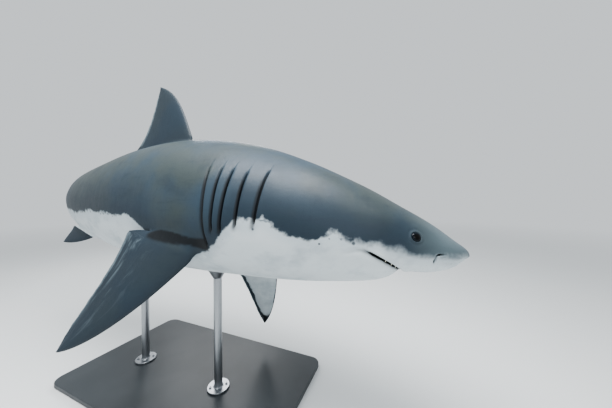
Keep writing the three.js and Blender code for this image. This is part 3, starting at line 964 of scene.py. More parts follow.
def sink_nostrils(skin):
    """A hooked slit for each nostril, with the raised flap that it bounds."""
    for side in (1, -1):
        line = skin_line(NOSTRIL_LINE, side)
        station, angle = NOSTRIL["flap"]
        flap = on_skin(station, side * angle)
        refine(skin, line[NOSTRIL["middle"]], NOSTRIL["refined"])
        points = read_points(skin)
        rise = NOSTRIL["flap_rise"] * hump(np.linalg.norm(points - flap, axis=1), NOSTRIL["flap_reach"])
        move_points(skin, points + rise[:, None] * read_points(skin, "normal"))
        press_line(skin, line, NOSTRIL["wide"], NOSTRIL["deep"], NOSTRIL["taper"])


def press_lip_folds(skin):
    """The fold in the skin behind each corner of the mouth."""
    for side in (1, -1):
        line = skin_line(LIP_FOLD_LINE, side)
        press_line(skin, line, LIP_FOLD["wide"], LIP_FOLD["deep"], LIP_FOLD["taper"])


# ---------- what the hide's colours need to know ----------
def keep(piece, name, values):
    """Stores a number for every point of a piece, for its finish to read."""
    layer = piece.data.attributes.new(name, "FLOAT", "POINT")
    layer.data.foreach_set("value", np.asarray(values, np.float32))


READING_SPANS = 120
FIN_NEAR = {"in_plane": 0.4, "off_plane": 1.6}


def fin_reading(points, seat, fin):
    """For points near a paired fin: if each belongs to it, its span and chord, how far it lies on
    the upper face, and how far out from the root, both in percent."""
    root, back, outward, normal = paired_axes(seat)
    offset = (points - root) / PERCENT
    in_plane = np.stack([offset @ back, offset @ outward], -1)
    off = offset @ normal
    spans = np.linspace(0, 1, READING_SPANS)
    lead, rear = fin_edges(fin, spans)
    far, which, chord = nearest_segment(in_plane, lead, rear - lead)
    belongs = (far < FIN_NEAR["in_plane"]) & (np.abs(off) < FIN_NEAR["off_plane"] * fin["thick"])
    return belongs, spans[which], chord, -off * seat["side"] + FACE_TURN, in_plane[:, 1]


# For a fin on the back, belly or tail: the least length of chord that is divided by, how far
# before and behind its edges a point still counts, and over which heights it starts.
UPRIGHT_FIN = {"least_chord": 0.05, "before": -0.1, "behind": 1.15, "starts": (0.02, 0.12)}


def median_reading(station, right, up, fin):
    """For a fin on the back, belly or tail: how much each point belongs to it, height and chord."""
    lead, trail = fin_edges(fin, np.linspace(0, 1, READING_SPANS))
    way = np.sign(lead[-1, 1])
    lead_at = np.interp(up * way, lead[:, 1] * way, lead[:, 0])
    trail_at = np.interp(up * way, trail[:, 1] * way, trail[:, 0])
    height = (up - lead[0, 1]) / (lead[-1, 1] - lead[0, 1])
    chord = (station - lead_at) / np.maximum(trail_at - lead_at, UPRIGHT_FIN["least_chord"])
    within = (chord > UPRIGHT_FIN["before"]) & (chord < UPRIGHT_FIN["behind"])
    inside = (np.abs(right) < fin["thick"]) & within
    return inside * ease(height, *UPRIGHT_FIN["starts"]), np.clip(height, 0, 1), np.clip(chord, 0, 1)


def slit_shade(station, angle, radius):
    """1 in a gill slit and on the skin just behind it, where shade is painted, and in a blot at its foot."""
    shade = np.zeros(len(station))
    for slit in GILL_SLITS:
        foot_station, foot = slit[1]
        off = (station - slit_station(slit, angle)) * PERCENT
        behind = 1 - ease(off, GILL_SHADE["full"], GILL_SHADE["gone"])
        near = np.where(off < 0, hump(off, GILL_SHADE["ahead"]), behind)
        below = np.radians(angle - foot - GILL_BLOT["below"]) * radius * PERCENT
        back = (station - foot_station) * PERCENT - GILL_BLOT["back"]
        blot = hump(np.hypot(back, GILL_BLOT["flatness"] * below), GILL_BLOT["reach"])
        here = between_ends(angle, slit, GILL_SHADE["fades"])
        shade = np.maximum(shade, np.maximum(here * near, GILL_BLOT["strength"] * blot))
    return shade


def axil_mark_and_shadow(station, angle, reach):
    """1 in the crescent above the root of a pectoral fin: a dark mark and painted shadow. reach is 1 on the
    plain skin.
    """
    upper, lower = (np.interp(station, AXIL[:, 0], AXIL[:, k]) for k in (1, 2))
    front, rear = AXIL[0, 0], AXIL[-1, 0]
    along = past(station, front, AXIL_FADES["front"]) * (1 - past(station, rear, AXIL_FADES["rear"]))
    across = past(angle, upper, AXIL_FADES["upper"]) * (1 - past(angle, lower, AXIL_FADES["lower"]))
    return along * across * (1 - past(reach, 1, AXIL_FADES["off"]))


# Paired fins as the hide sees them: seat, shape, how dark the upper face is against the back,
# and how far out from the root, in percent, the fin's own colours take over.
PAIRED_FINS = [
    (PECTORAL_RIGHT, PECTORAL, 1, 1.2),
    (PECTORAL_LEFT, PECTORAL, 1, 1.2),
    (PELVIC_RIGHT, PELVIC, 5 / 12, 0.4),
    (PELVIC_LEFT, PELVIC, 5 / 12, 0.4),
]
MEDIAN_FINS = [FIRST_DORSAL, SECOND_DORSAL, ANAL_FIN, CAUDAL_UPPER, CAUDAL_LOWER]

# Behind the tail stalk all skin counts as back, this far from the colour edge.
ALL_BACK = {"from": (83, 87), "back": 0.12}

# How a fin is told from the body, as shares of the plain skin's radius.
OFF_BODY = {"paired": 0.98, "median": 1.02}
BODY_REACH = {"share": 1.15, "percent": 0.3}

# How fast a paired fin turns from its pale face to its dark one, and the deepest reading of sunk.
FACE_SLOPE = 0.3
DEEPEST = 0.05


def mark_hide(skin):
    """Stores what the hide's colours need for every point of the skin.

    back: distance over the edge between the slate and the white, in metres.
    lip, slit, axil: painted shade at the lips and gill slits, and the crescents: dark mark and painted
    shadow.
    sunk: depth under the plain skin, in metres.
    on_fin, paired: 1 on any fin, and on a pectoral or pelvic fin.
    tip, rear, under: share out from a fin's root, share back from its front, its lower face.
    """
    points = read_points(skin)
    station, right, up = from_spine(points)
    angle = angle_round(station, right, up)
    radius = np.hypot(*section_offset(station, angle))
    reach = np.hypot(right, up)
    on_body = (station < BODY_END) & (reach < radius * BODY_REACH["share"] + BODY_REACH["percent"])
    edge = np.interp(station, COLOUR_EDGE[:, 0], COLOUR_EDGE[:, 1])
    back = np.radians(edge - angle) * np.maximum(radius, LEAST_RADIUS) * PERCENT
    past_stalk = ease(station, *ALL_BACK["from"])
    back = back * (1 - past_stalk) + ALL_BACK["back"] * past_stalk
    tip, rear, under, paired = (np.zeros(len(points)) for _ in range(4))
    for seat, fin, darkness, full_from in PAIRED_FINS:
        belongs, span, chord, above, out = fin_reading(points, seat, fin)
        share = belongs * ease(out, 0, full_from) * (reach > radius * OFF_BODY["paired"])
        back = back * (1 - share) + share * np.clip(above * FACE_SLOPE, -1, 1) * darkness
        tip = np.maximum(tip, share * span * (fin is PECTORAL))
        rear = np.maximum(rear, share * chord)
        under = np.maximum(under, share * (above < 0))
        paired = np.maximum(paired, share)
    on_fin = paired
    for fin in MEDIAN_FINS:
        share, height, chord = median_reading(station, right, up, fin)
        share = share * (reach > radius * OFF_BODY["median"])
        rear = np.maximum(rear, share * chord)
        tip = np.maximum(tip, share * height)
        on_fin = np.maximum(on_fin, share)
    # Painted shade round the cleft of the mouth.
    lip = hump(behind_lip(station, angle) - LIP_SHADE["behind"], LIP_SHADE["reach"])
    lip = lip * past(angle, MOUTH["corner_angle"], LIP_SHADE["fade"])
    readings = {
        "back": back,
        "lip": lip * on_body,
        "sunk": np.clip((radius - reach) * PERCENT, 0, DEEPEST) * on_body,
        "slit": slit_shade(station, angle, radius) * on_body,
        "axil": axil_mark_and_shadow(station, angle, reach / np.maximum(radius, LEAST_RADIUS)),
        "tip": tip,
        "rear": rear,
        "under": under,
        "on_fin": on_fin,
        "paired": paired,
        "station": station,
        "angle": angle,
    }
    for name, values in readings.items():
        keep(skin, name, values)


# ---------- finishes ----------
def colour(hexed):
    """A linear colour from a web colour."""
    parts = [int(hexed[i:i + 2], 16) / 255 for i in (1, 3, 5)]
    linear = [v / 12.92 if v <= 0.04045 else ((v + 0.055) / 1.055) ** 2.4 for v in parts]
    return (*linear, 1)


def add_node(tree, kind, settings, sockets):
    """A new node's outputs. Its settings are made first, then its sockets get values or links."""
    made = tree.nodes.new(kind)
    for name, value in (settings or {}).items():
        setattr(made, name, value)
    for key, value in (sockets or {}).items():
        feed(tree, made.inputs[key], value)
    return made.outputs


def feed(tree, socket, value):
    """Gives a socket a plain value, or links another socket to it."""
    if isinstance(value, Flow):
        value = value.socket
    if isinstance(value, bpy.types.NodeSocket):
        tree.links.new(value, socket)
    else:
        socket.default_value = value


class Flow:
    """A shader socket that is worked with like a number."""

    def __init__(self, finish, socket):
        self.finish = finish
        self.socket = socket

    def math(self, operation, first, second):
        return self.finish.node("ShaderNodeMath", {"operation": operation}, {0: first, 1: second})

    def __add__(self, other):
        return self.math("ADD", self, other)

    def __sub__(self, other):
        return self.math("SUBTRACT", self, other)

    def __rsub__(self, other):
        return self.math("SUBTRACT", other, self)

    def __mul__(self, other):
        return self.math("MULTIPLY", self, other)

    __radd__ = __add__
    __rmul__ = __mul__

    def above(self, low, high):
        """0 below low, 1 above high, and a smooth rise between. low may be the larger."""
        return self.finish.node(
            "ShaderNodeMapRange",
            {"interpolation_type": "SMOOTHSTEP"},
            {"Value": self, "From Min": low, "From Max": high},
        )


class Finish:
    """A material in the making, with its main shader."""

    def __init__(self, name, **shader):
        self.material = bpy.data.materials.new(name)
        self.material.use_nodes = True
        self.tree = self.material.node_tree
        self.shader = self.tree.nodes["Principled BSDF"]
        for socket, value in shader.items():
            self.shader.inputs[socket.replace("_", " ")].default_value = value

    def node(self, kind, settings=None, sockets=None, output=0):
        return Flow(self, add_node(self.tree, kind, settings, sockets)[output])

    def place(self):
        """The place on the object, in metres."""
        return self.node("ShaderNodeTexCoord", output="Object")

    def reading(self, name):
        """What the piece keeps under a name at each of its points."""
        return self.node("ShaderNodeAttribute", {"attribute_name": name}, output="Fac")

    def noise(self, scale, detail, roughness=0.5, place=None, distortion=0):
        return self.node(
            "ShaderNodeTexNoise",
            sockets={
                "Vector": place or self.place(),
                "Scale": scale,
                "Detail": detail,
                "Roughness": roughness,
                "Distortion": distortion,
            },
        )

    def stretched(self, x, y, z):
        """The place on the object, with each direction drawn finer by its own number."""
        return self.node("ShaderNodeVectorMath", {"operation": "MULTIPLY"}, {0: self.place(), 1: (x, y, z)})

    def blend(self, share, first, second):
        """A colour between two others: all the second where share is 1."""
        sockets = {0: share, 6: first, 7: second}
        return self.node("ShaderNodeMix", {"data_type": "RGBA"}, sockets, output=2)

    def relief(self, height, distance, strength, under=None):
        """A bump of a real height in metres, laid over the one under it."""
        sockets = {"Height": height, "Distance": distance, "Strength": strength}
        if under:
            sockets["Normal"] = under
        return self.node("ShaderNodeBump", sockets=sockets)

    def set(self, **sockets):
        """Feeds the main shader, and ends the material."""
        for name, value in sockets.items():
            feed(self.tree, self.shader.inputs[name.replace("_", " ")], value)
        return self.material


SLATE = colour("#33434f")
SLATE_DARK = colour("#212e39")
BRONZE = colour("#3f4745")
SNOUT_LIGHT = colour("#5d6c72")
BELLY_WHITE = colour("#cfd7da")
BELLY_SHADE = colour("#a3b0b7")
# The next two colours paint shade; the second is also the dark mark above each pectoral root.
CREVICE_SHADE = colour("#070b0f")
SHADE_AND_MARK_BLACK = colour("#0a0e12")
FIN_SLATE = colour("#1f2b35")
TIP_BLACK = colour("#151a1f")
PALE_EDGE_AND_PAINTED_LIGHT = colour("#7b8a91")
EYE_PAINT = {"middle": colour("#030405"), "rim": colour("#0a1119"), "fleck": colour("#131e2b")}
TOOTH_PAINT = (colour("#efece0"), colour("#d9d3bf"))
BASE_PAINT = (colour("#33383c"), colour("#3d4246"))
STEEL_PAINT = (colour("#b4b7ba"), colour("#8d9196"))
FLOOR_PAINT = (colour("#d9dcdd"), colour("#dfe1e1"))

# Small dark spots on the right side: station, angle and radius.
HIDE_SPOTS = [(10.75, 92, 0.009), (19.75, 93, 0.008), (13.6, 97, 0.004)]


def make_hide():
    """The painted hide of the whole skin, from what mark_hide keeps."""
    hide = Finish("shark_hide", Coat_Roughness=0.3, Specular_IOR_Level=0.32)
    back, sunk, slit, axil, lip = map(hide.reading, ("back", "sunk", "slit", "axil", "lip"))
    tip, rear, under, on_fin = map(hide.reading, ("tip", "rear", "under", "on_fin"))
    paired, station, angle = map(hide.reading, ("paired", "station", "angle"))
    upper = 1 - under

    # The slate of the back, with its cast, painted shade low on the flank, its mottling, the snout
    # painted paler as painted light, and the dark fins.
    broad = hide.noise(2.6, 3, 0.55)
    patches = hide.noise(8, 4, 0.62, hide.stretched(0.8, 1, 1.2))
    freckles = hide.noise(60, 4, 0.65)
    streaks = hide.noise(5, 5, 0.6, hide.stretched(1, 1, 7))
    slate = hide.blend(broad.above(0.4, 0.62) * 0.8, SLATE, BRONZE)
    # First, darker slate within a reach of the white: painted shade on the lower flank, and the darker tone
    # of the tail and fins. Then darker patches, streaks and freckles.
    for pattern, starts, full, strength in (
        (back, 0.22, 0.0, 0.75),
        (patches, 0.48, 0.74, 0.4),
        (streaks, 0.55, 0.72, 0.3),
        (freckles, 0.55, 0.7, 0.22),
    ):
        slate = hide.blend(pattern.above(starts, full) * strength, slate, SLATE_DARK)
    # Painted light: the snout is painted paler, in mottles, as if lit from above.
    snout = station.above(7, 2) * (0.55 + patches * 0.6)
    slate = hide.blend(snout, slate, SNOUT_LIGHT)
    slate = hide.blend(on_fin * upper * 0.75, slate, FIN_SLATE)

    # The white of the belly, and the ragged edge between the two.
    white = hide.blend(patches.above(0.45, 0.7) * 0.6, BELLY_WHITE, BELLY_SHADE)
    white = hide.blend(back.above(-0.07, 0.0) * 0.5, white, BELLY_SHADE)
    wander = (hide.noise(7, 3, 0.5) - 0.5) * 0.07
    jagged = (hide.noise(40, 4, 0.6) - 0.5) * 0.035
    softness = 0.008 + station.above(14, 6) * 0.016
    edge = (back + wander + jagged).above(0 - softness, softness)
    coat = hide.blend(edge, white, slate)
    islands = hide.noise(34, 2, 0.5).above(0.64, 0.68) * back.above(-0.045, -0.015)
    coat = hide.blend(islands * (1 - edge) * (1 - on_fin) * 0.6, coat, SLATE)

    # The fins: pale mottling on the upper face of the paired ones, partly their own pattern and partly
    # painted light in ripples, black tips, and hind margins.
    over_fin = hide.node("ShaderNodeCombineXYZ", sockets={"X": rear * 7, "Y": tip * 3})
    streaked = hide.noise(1.0, 5, 0.62, over_fin, 0.6).above(0.52, 0.68)
    inner_lobe = rear.above(0.35, 0.95) * tip.above(0.75, 0.1) * tip.above(0.0, 0.06)
    mottling_and_light = inner_lobe + rear.above(0.1, 0.5) * tip.above(0.1, 0.5) * 0.35
    # Pale mottling of the paired fins: partly their own pattern, partly painted rippling light.
    coat = hide.blend(paired * upper * streaked * mottling_and_light * 0.5, coat, PALE_EDGE_AND_PAINTED_LIGHT)
    black_tip = under * (tip + (hide.noise(16, 3, 0.6) - 0.5) * 0.16).above(0.84, 0.9)
    coat = hide.blend(black_tip, coat, TIP_BLACK)
    rear_edge = (rear + (hide.noise(34, 3, 0.6) - 0.5) * 0.06).above(0.93, 0.99) * on_fin
    coat = hide.blend(rear_edge * 0.55 * upper * tip.above(0.97, 0.85), coat, PALE_EDGE_AND_PAINTED_LIGHT)
    coat = hide.blend(rear_edge * 0.8 * under * tip.above(0.2, 0.45), coat, TIP_BLACK)

    # The flank line, the crescents, painted shade at the gill slits and lips, the spots, and painted shade in
    # every deep crevice.
    flank_line = angle.above(75.4, 76) * angle.above(76.6, 76)
    flank_line = flank_line * station.above(27, 31) * station.above(82, 78)
    coat = hide.blend(flank_line * broad.above(0.35, 0.6) * 0.2, coat, SLATE_DARK)
    # The crescent over each pectoral root: a dark mark, and painted shadow of the gap under the body.
    coat = hide.blend((axil + (patches - 0.5) * 0.3).above(0.15, 0.85) * 0.92, coat, SHADE_AND_MARK_BLACK)
    # Painted shade in and just behind each gill slit, and a dark blot at its foot.
    coat = hide.blend(slit * (0.75 + patches * 0.4), coat, SHADE_AND_MARK_BLACK)
    # Painted shade round the mouth.
    coat = hide.blend(lip * 0.6, coat, SHADE_AND_MARK_BLACK)
    for station_at, angle_at, radius in HIDE_SPOTS:
        ends = {0: hide.place(), 1: tuple(on_skin(station_at, angle_at))}
        far = hide.node("ShaderNodeVectorMath", {"operation": "DISTANCE"}, ends, "Value")
        spot = (far + jagged * 0.5).above(radius, radius * 0.15)
        coat = hide.blend(spot * 0.85, coat, SLATE_DARK)
    # Painted shade in every hollow more than about 6 mm deep.
    coat = hide.blend(sunk.above(0.006, 0.013), coat, CREVICE_SHADE)

    # The pores of the snout.
    grid = {"Vector": hide.place(), "Scale": 95, "Randomness": 0.9}
    pores = hide.node("ShaderNodeTexVoronoi", {"feature": "F1"}, grid)
    pitted = pores.above(0.17, 0.07) * station.above(6.2, 5) * station.above(0.2, 0.6)
    coat = hide.blend(pitted * 0.35, coat, SLATE_DARK)

    # The grain: what rises, by how many metres, and how strongly.
    fine = hide.noise(800, 2, 0.6)
    soft = hide.noise(13, 5, 0.55)
    folds = hide.noise(9, 3, 0.5, hide.stretched(3.2, 1, 0.7))
    bump = None
    for height, distance, strength in (
        (fine, 0.0004, 0.45),
        (soft, 0.003, 0.4),
        (folds, 0.004, 0.3),
        (1 - pitted, 0.0008, 0.6),
    ):
        bump = hide.relief(height, distance, strength, bump)
    return hide.set(
        Base_Color=coat,
        Roughness=0.38 + soft * 0.16 + freckles * 0.06,
        Coat_Weight=0.03 + broad * 0.08,
        Normal=bump,
    )


def make_eye_finish():
    """Glossy black, a little bluer and flecked towards the rim."""
    eye = Finish("shark_eye", Roughness=0.12, Specular_IOR_Level=0.22)
    ring = eye.reading("from_middle")
    shade = eye.blend(ring.above(0.55, 0.78), EYE_PAINT["middle"], EYE_PAINT["rim"])
    shade = eye.blend(eye.noise(160, 2) * ring.above(0.6, 0.8) * 0.5, shade, EYE_PAINT["fleck"])
    return eye.set(Base_Color=shade)


def make_tooth_finish():
    """Ivory with a worn gloss."""
    tooth = Finish("shark_tooth", Specular_IOR_Level=0.6)
    wear = tooth.noise(240, 3, 0.6)
    return tooth.set(Base_Color=tooth.blend(wear, *TOOTH_PAINT), Roughness=0.22 + wear * 0.15)


def make_base_finish():
    """Satin paint on steel, with a fine grain."""
    base = Finish("base_satin_paint", Coat_Roughness=0.25)
    grain = base.noise(420, 3, 0.6)
    cloud = base.noise(3, 3, 0.5)
    return base.set(
        Base_Color=base.blend(cloud.above(0.35, 0.7), *BASE_PAINT),
        Roughness=0.42 + grain * 0.14,
        Coat_Weight=0.1 + cloud * 0.1,
        Normal=base.relief(grain, 0.0003, 0.4),
    )


def make_steel_finish():
    """Steel brushed along the rods."""
    steel = Finish("rod_brushed_steel", Metallic=1.0)
    brushed = steel.noise(70, 4, 0.7, steel.stretched(22, 22, 0.5))
    return steel.set(
        Base_Color=steel.blend(brushed, *STEEL_PAINT),
        Roughness=0.24 + brushed * 0.2,
        Normal=steel.relief(brushed, 0.0002, 0.35),
    )


# The backdrop's colour and strength, and how far away the floor passes into it.
BACKDROP = {"colour": (0.84, 0.88, 0.91, 1), "strength": 0.8, "fade": (3.5, 14.0)}


def make_floor_finish():
    """A pale floor that passes into the colour of the backdrop far away."""
    floor = Finish("studio_floor", Roughness=0.7)
    floor.set(Base_Color=floor.blend(floor.noise(0.6, 3, 0.5), *FLOOR_PAINT))
    far = floor.node("ShaderNodeVectorMath", {"operation": "LENGTH"}, {0: floor.place()}, "Value")
    glow = {"Color": BACKDROP["colour"], "Strength": BACKDROP["strength"]}
    haze = floor.node("ShaderNodeEmission", sockets=glow)
    lit = Flow(floor, floor.shader.outputs["BSDF"])
    seen = floor.node("ShaderNodeMixShader", sockets={0: far.above(*BACKDROP["fade"]), 1: lit, 2: haze})
    floor.tree.links.new(seen.socket, floor.tree.nodes["Material Output"].inputs["Surface"])
    return floor.material


# ---------- eyes ----------
def make_eye(side):
    """A flattened glossy ball that fits its cup."""
    hand = "right" if side > 0 else "left"
    middle, facing, ahead, upright = eye_seat(side)
    radius = EYE["opening"] - EYE["gap"]
    lifts = np.linspace(EYE_GRID["ball_end"], np.pi - EYE_GRID["ball_end"], EYE_GRID["ball_levels"])
    profile = [(radius * math.sin(a), EYE["bulge"] * math.cos(a) - EYE["sunk"]) for a in lifts]
    eyeball = eye_form(f"eyeball_{hand}", side, profile)
    offset = read_points(eyeball) - (middle - facing * EYE["sunk"])
    keep(eyeball, "from_middle", across_eye(offset, ahead, upright) / radius)
    eyeball.data.materials.append(EYE_FINISH)
    eyeball.data.shade_smooth()
    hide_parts(f"eye_{hand}")
    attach(eyeball, "root")


# ---------- stand ----------
BASE = {"length": 1.4, "width": 0.8, "thick": 0.025, "corner": 0.06, "edge": 0.003}
CORNER_POINTS = 13
ROD_STATIONS = {"front": 29.5, "rear": 45.5}
ROD = {"radius": 0.022, "turns": 64}
FLANGE = {"radius": 0.06, "thick": 0.01, "edge": 0.0015}
PAD = {"radius": 0.058, "neck": 0.024, "tall": 0.06, "into": 0.015, "edge": 0.002}
REST_GAP = 0.0004
SCREW = {"ring": 0.043, "radius": 0.0065, "tall": 0.006, "socket": 0.0034}
SCREW_TURNS = [45, 135, 225, 315]

# The weld between a flange and its shaft: how far out from the shaft, and how far up.
WELD = [(0.006, 0), (0.0015, 0.003), (0, 0.009)]


def level_ring(x, y, height):
    """A level ring of points."""
    return np.stack([x, y, np.full(len(x), height)], -1)


def make_base():
    """A flat plate with round corners and softened edges."""
    thick, edge = BASE["thick"], BASE["edge"]
    soft = 0.3 * edge
    corners = [np.linspace(start, start + 90, CORNER_POINTS) for start in (-90, 0, 90, 180)]
    turns = np.radians(np.concatenate(corners))
    middles = np.repeat([[1, -1], [1, 1], [-1, 1], [-1, -1]], CORNER_POINTS, axis=0)
    straight = np.array([BASE["length"] / 2 - BASE["corner"], BASE["width"] / 2 - BASE["corner"]])
    levels = [(0, edge), (edge, 0), (thick - edge, 0), (thick - soft, soft), (thick, edge)]
    rings = []
    for height, inset in levels:
        radius = BASE["corner"] - inset
        x = middles[:, 0] * straight[0] + radius * np.cos(turns)
        y = middles[:, 1] * straight[1] + radius * np.sin(turns)
        rings.append(level_ring(x, y, height))
    base = ring_mesh("display_base", np.array(rings))
    base.data.materials.append(BASE_FINISH)
    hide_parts("stand_base")
    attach(base, "root")


def make_rod(name, station, skin):
    """A turned steel rod: flange on the plate, shaft, and a cup against the belly."""
    belly = on_skin(station, 180)
    foot = BASE["thick"] + REST_GAP
    collar = foot + FLANGE["thick"]
    top = belly[2] + PAD["into"]
    profile = [
        (FLANGE["radius"] - FLANGE["edge"], foot),
        (FLANGE["radius"], foot + FLANGE["edge"]),
        (FLANGE["radius"], collar - FLANGE["edge"]),
        (FLANGE["radius"] - FLANGE["edge"], collar),
        *[(ROD["radius"] + out, collar + up) for out, up in WELD],
        (ROD["radius"], top - PAD["tall"] - PAD["edge"]),
        (PAD["neck"], top - PAD["tall"]),
        (PAD["radius"] - PAD["edge"], top - 2 * PAD["edge"]),
        (PAD["radius"], top - PAD["edge"]),
        (PAD["radius"], top),
    ]
    turns = np.arange(ROD["turns"]) * 2 * np.pi / ROD["turns"]
    rings = [level_ring(belly[0] + r * np.cos(turns), belly[1] + r * np.sin(turns), z) for r, z in profile]
    rod = ring_mesh(f"display_rod_{name}", np.array(rings))
    combine(rod, "DIFFERENCE", skin)
    rod.data.materials.clear()
    rod.data.materials.append(STEEL_FINISH)
    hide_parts(f"stand_rod_{name}")
    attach(rod, "root")


# ---------- repeated pieces ----------
class Recipe:
    """A geometry node tree in the making, with its named sizes."""

    def __init__(self, name, sizes):
        self.tree = bpy.data.node_groups.new(name, "GeometryNodeTree")
        self.tree.interface.new_socket("Geometry", in_out="INPUT", socket_type="NodeSocketGeometry")
        self.tree.interface.new_socket("Geometry", in_out="OUTPUT", socket_type="NodeSocketGeometry")
        self.sizes = {}
        for size, value in sizes.items():
            socket = self.tree.interface.new_socket(size, in_out="INPUT", socket_type="NodeSocketFloat")
            socket.default_value = value
            self.sizes[socket.identifier] = value
        self.given = self.tree.nodes.new("NodeGroupInput").outputs
        self.result = self.tree.nodes.new("NodeGroupOutput").inputs["Geometry"]

    def node(self, kind, settings=None, sockets=None):
        return add_node(self.tree, kind, settings, sockets)

    def close(self, geometry, finish):
        """Ends the tree: real geometry, in one finish."""
        real = self.node("GeometryNodeRealizeInstances", sockets={"Geometry": geometry})
        dressed = {"Geometry": real["Geometry"], "Material": finish}
        done = self.node("GeometryNodeSetMaterial", sockets=dressed)
        self.tree.links.new(done["Geometry"], self.result)

    def apply(self, piece):
        """Turns a piece into what the tree makes of it."""
        step = piece.modifiers.new("make", "NODES")
        step.node_group = self.tree
        for identifier, value in self.sizes.items():
            step[identifier] = value
        bake_modifiers(piece)


def points_piece(name, points, turns):
    """A piece of loose points, each with the turn that what stands on it gets."""
    mesh = bpy.data.meshes.new(name)
    mesh.from_pydata([tuple(p) for p in points], [], [])
    layer = mesh.attributes.new("turn", "FLOAT_VECTOR", "POINT")
    layer.data.foreach_set("vector", np.array(turns, np.float32).ravel())
    return new_object(name, mesh)


def turned(across, up):
    """Euler angles that turn X to across and Z to up."""
    across = unit(across)
    aside = unit(np.cross(up, across))
    return tuple(Matrix(np.stack([across, aside, np.cross(across, aside)], -1).tolist()).to_euler())


def make_teeth():
    """The upper teeth: flat, pointed blades that hang from under the lip."""
    places, turns = [], []
    for side in (1, -1):
        for angle in np.linspace(TEETH["first"], TEETH["last"], TEETH["per_side"]):
            station = lip_station(np.array(angle))
            here = on_skin(station, side * angle)
            ahead = angle - TEETH["aim"]
            along = on_skin(lip_station(np.array(ahead)), side * ahead) - here
            inward = unit(spine_point(station) - here)
            forward, _, up = bearings(station)
            inset = TEETH["gum"] + TEETH["front_inset"] * ease(angle, *TEETH["front_from"])
            hung = here + inset * inward - TEETH["behind_lip"] * forward
            places.append(hung + TEETH["over_gum"] * TEETH["gum"] * up)
            turns.append(turned(along, -up))
    teeth = points_piece("upper_teeth", places, turns)
    sizes = {"Width": TEETH["width"], "Tall": TEETH["tall"], "Flatness": TEETH["flatness"]}
    recipe = Recipe("tooth_row", sizes)
    half = recipe.node("ShaderNodeMath", {"operation": "MULTIPLY"}, {0: recipe.given["Width"], 1: 0.5})
    blade = recipe.node(
        "GeometryNodeMeshCone",
        sockets={"Vertices": 10, "Side Segments": 4, "Radius Bottom": half[0], "Depth": recipe.given["Tall"]},
    )
    flat = recipe.node("ShaderNodeCombineXYZ", sockets={"X": 1.0, "Y": recipe.given["Flatness"], "Z": 1.0})
    blade = recipe.node("GeometryNodeTransform", sockets={"Geometry": blade["Mesh"], "Scale": flat[0]})
    lean = recipe.node("GeometryNodeInputNamedAttribute", {"data_type": "FLOAT_VECTOR"}, {"Name": "turn"})
    turn = recipe.node("FunctionNodeEulerToRotation", sockets={0: lean["Attribute"]})
    row = recipe.node(
        "GeometryNodeInstanceOnPoints",
        sockets={"Points": recipe.given["Geometry"], "Instance": blade["Geometry"], "Rotation": turn[0]},
    )
    recipe.close(row["Instances"], TOOTH_FINISH)
    recipe.apply(teeth)
    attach(teeth, "root")


def make_screws():
    """Four socket-headed screws through the foot of each rod."""
    places = []
    top = BASE["thick"] + REST_GAP + FLANGE["thick"]
    for station in ROD_STATIONS.values():
        middle = on_skin(station, 180)
        for turn in np.radians(SCREW_TURNS):
            aside = SCREW["ring"] * np.array([np.cos(turn), np.sin(turn)])
            places.append((*(middle[:2] + aside), top + SCREW["tall"] / 2))
    screws = points_piece("flange_screws", places, np.zeros((len(places), 3)))
    sizes = {"Radius": SCREW["radius"], "Tall": SCREW["tall"], "Socket": SCREW["socket"]}
    recipe = Recipe("screw_set", sizes)
    points, tall, socket = (recipe.given[name] for name in ("Geometry", "Tall", "Socket"))
    round_head = {"Vertices": 24, "Radius": recipe.given["Radius"], "Depth": tall}
    head = recipe.node("GeometryNodeMeshCylinder", sockets=round_head)
    six_sided = {"Vertices": 6, "Radius": socket, "Depth": tall}
    hollow = recipe.node("GeometryNodeMeshCylinder", sockets=six_sided)
    lift = recipe.node("ShaderNodeCombineXYZ", sockets={"Z": socket})
    lifted = {"Geometry": hollow["Mesh"], "Translation": lift[0]}
    hollow = recipe.node("GeometryNodeTransform", sockets=lifted)
    parts = {0: head["Mesh"], 1: hollow["Geometry"]}
    cut = recipe.node("GeometryNodeMeshBoolean", {"operation": "DIFFERENCE"}, parts)
    set_out = recipe.node("GeometryNodeInstanceOnPoints", sockets={"Points": points, "Instance": cut["Mesh"]})
    recipe.close(set_out["Instances"], STEEL_FINISH)
    recipe.apply(screws)
    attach(screws, "root")


# ---------- studio ----------
CAMERA = {"place": (1.210, -1.076, 1.091), "pitch": 88.85, "heading": 22.74, "lens": 13.906, "sensor": 36}
FLOOR = {"radius": 30, "height": -0.0005}

# Softboxes: name, place, what each is turned to, length and width, and power.
SOFTBOXES = [
    ("key_above", (0.5, -0.7, 3.6), (0.1, 0, 1), (2.6, 1.6), 175),
    ("front_fill", (2.6, -3.2, 2.2), (0.2, 0, 1), (2.4, 1.8), 22),
    ("rear_rim", (-2.5, 3.0, 3.0), (0, 0, 1), (2.4, 1.4), 60),
]


def make_floor():
    """A round floor just under the stand."""
    bpy.ops.mesh.primitive_circle_add(
        vertices=96,
        radius=FLOOR["radius"],
        fill_type="NGON",
        location=(0, 0, FLOOR["height"]),
    )
    floor = bpy.context.object
    floor.name = "studio_floor"
    floor.data.materials.append(FLOOR_FINISH)


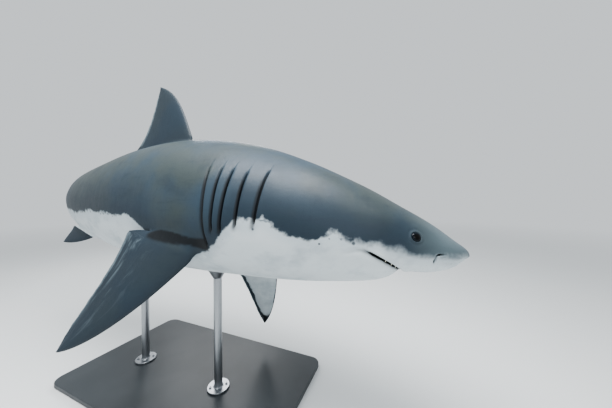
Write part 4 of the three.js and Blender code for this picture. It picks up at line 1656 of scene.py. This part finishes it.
def light_studio():
    """Soft light from above, in front and behind, before an even backdrop."""
    world = bpy.data.worlds.new("studio")
    world.use_nodes = True
    backdrop = world.node_tree.nodes["Background"].inputs
    backdrop["Color"].default_value = BACKDROP["colour"]
    backdrop["Strength"].default_value = BACKDROP["strength"]
    bpy.context.scene.world = world
    bpy.context.scene.view_settings.look = "AgX - Medium High Contrast"
    for name, place, aim, size, power in SOFTBOXES:
        light = bpy.data.lights.new(name, "AREA")
        light.shape = "RECTANGLE"
        light.size, light.size_y = size
        light.energy = power
        lamp = new_object(name, light)
        lamp.location = place
        lamp.rotation_euler = (Vector(aim) - Vector(place)).to_track_quat("-Z", "Y").to_euler()


def place_camera():
    """The camera that the model is shown through."""
    camera = bpy.data.cameras.new("studio_camera")
    camera.lens = CAMERA["lens"]
    camera.sensor_width = CAMERA["sensor"]
    holder = new_object("studio_camera", camera)
    holder.location = CAMERA["place"]
    holder.rotation_euler = (math.radians(CAMERA["pitch"]), 0, math.radians(CAMERA["heading"]))
    bpy.context.scene.camera = holder


# ---------- making ----------
HIDE = make_hide()
EYE_FINISH = make_eye_finish()
TOOTH_FINISH = make_tooth_finish()
BASE_FINISH = make_base_finish()
STEEL_FINISH = make_steel_finish()
FLOOR_FINISH = make_floor_finish()

FLESH_NODES = [
    "head", "lower_jaw", "gill_section", "trunk_front", "trunk_rear", "tail_front", "tail_stalk",
    "first_dorsal_fin", "second_dorsal_fin", "anal_fin", "caudal_fin_upper", "caudal_fin_lower",
    "pectoral_fin_right", "pectoral_fin_left", "pelvic_fin_right", "pelvic_fin_left",
]

skin = make_skin()
press_lip_folds(skin)
sink_eyes(skin)
sink_nostrils(skin)
mark_hide(skin)
skin.data.materials.clear()
skin.data.materials.append(HIDE)
skin.data.shade_smooth()
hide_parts(*FLESH_NODES)
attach(skin, "root")

for side in (1, -1):
    make_eye(side)
make_teeth()
make_base()
for name, station in ROD_STATIONS.items():
    make_rod(name, station, skin)
make_screws()
make_floor()
light_studio()
place_camera()
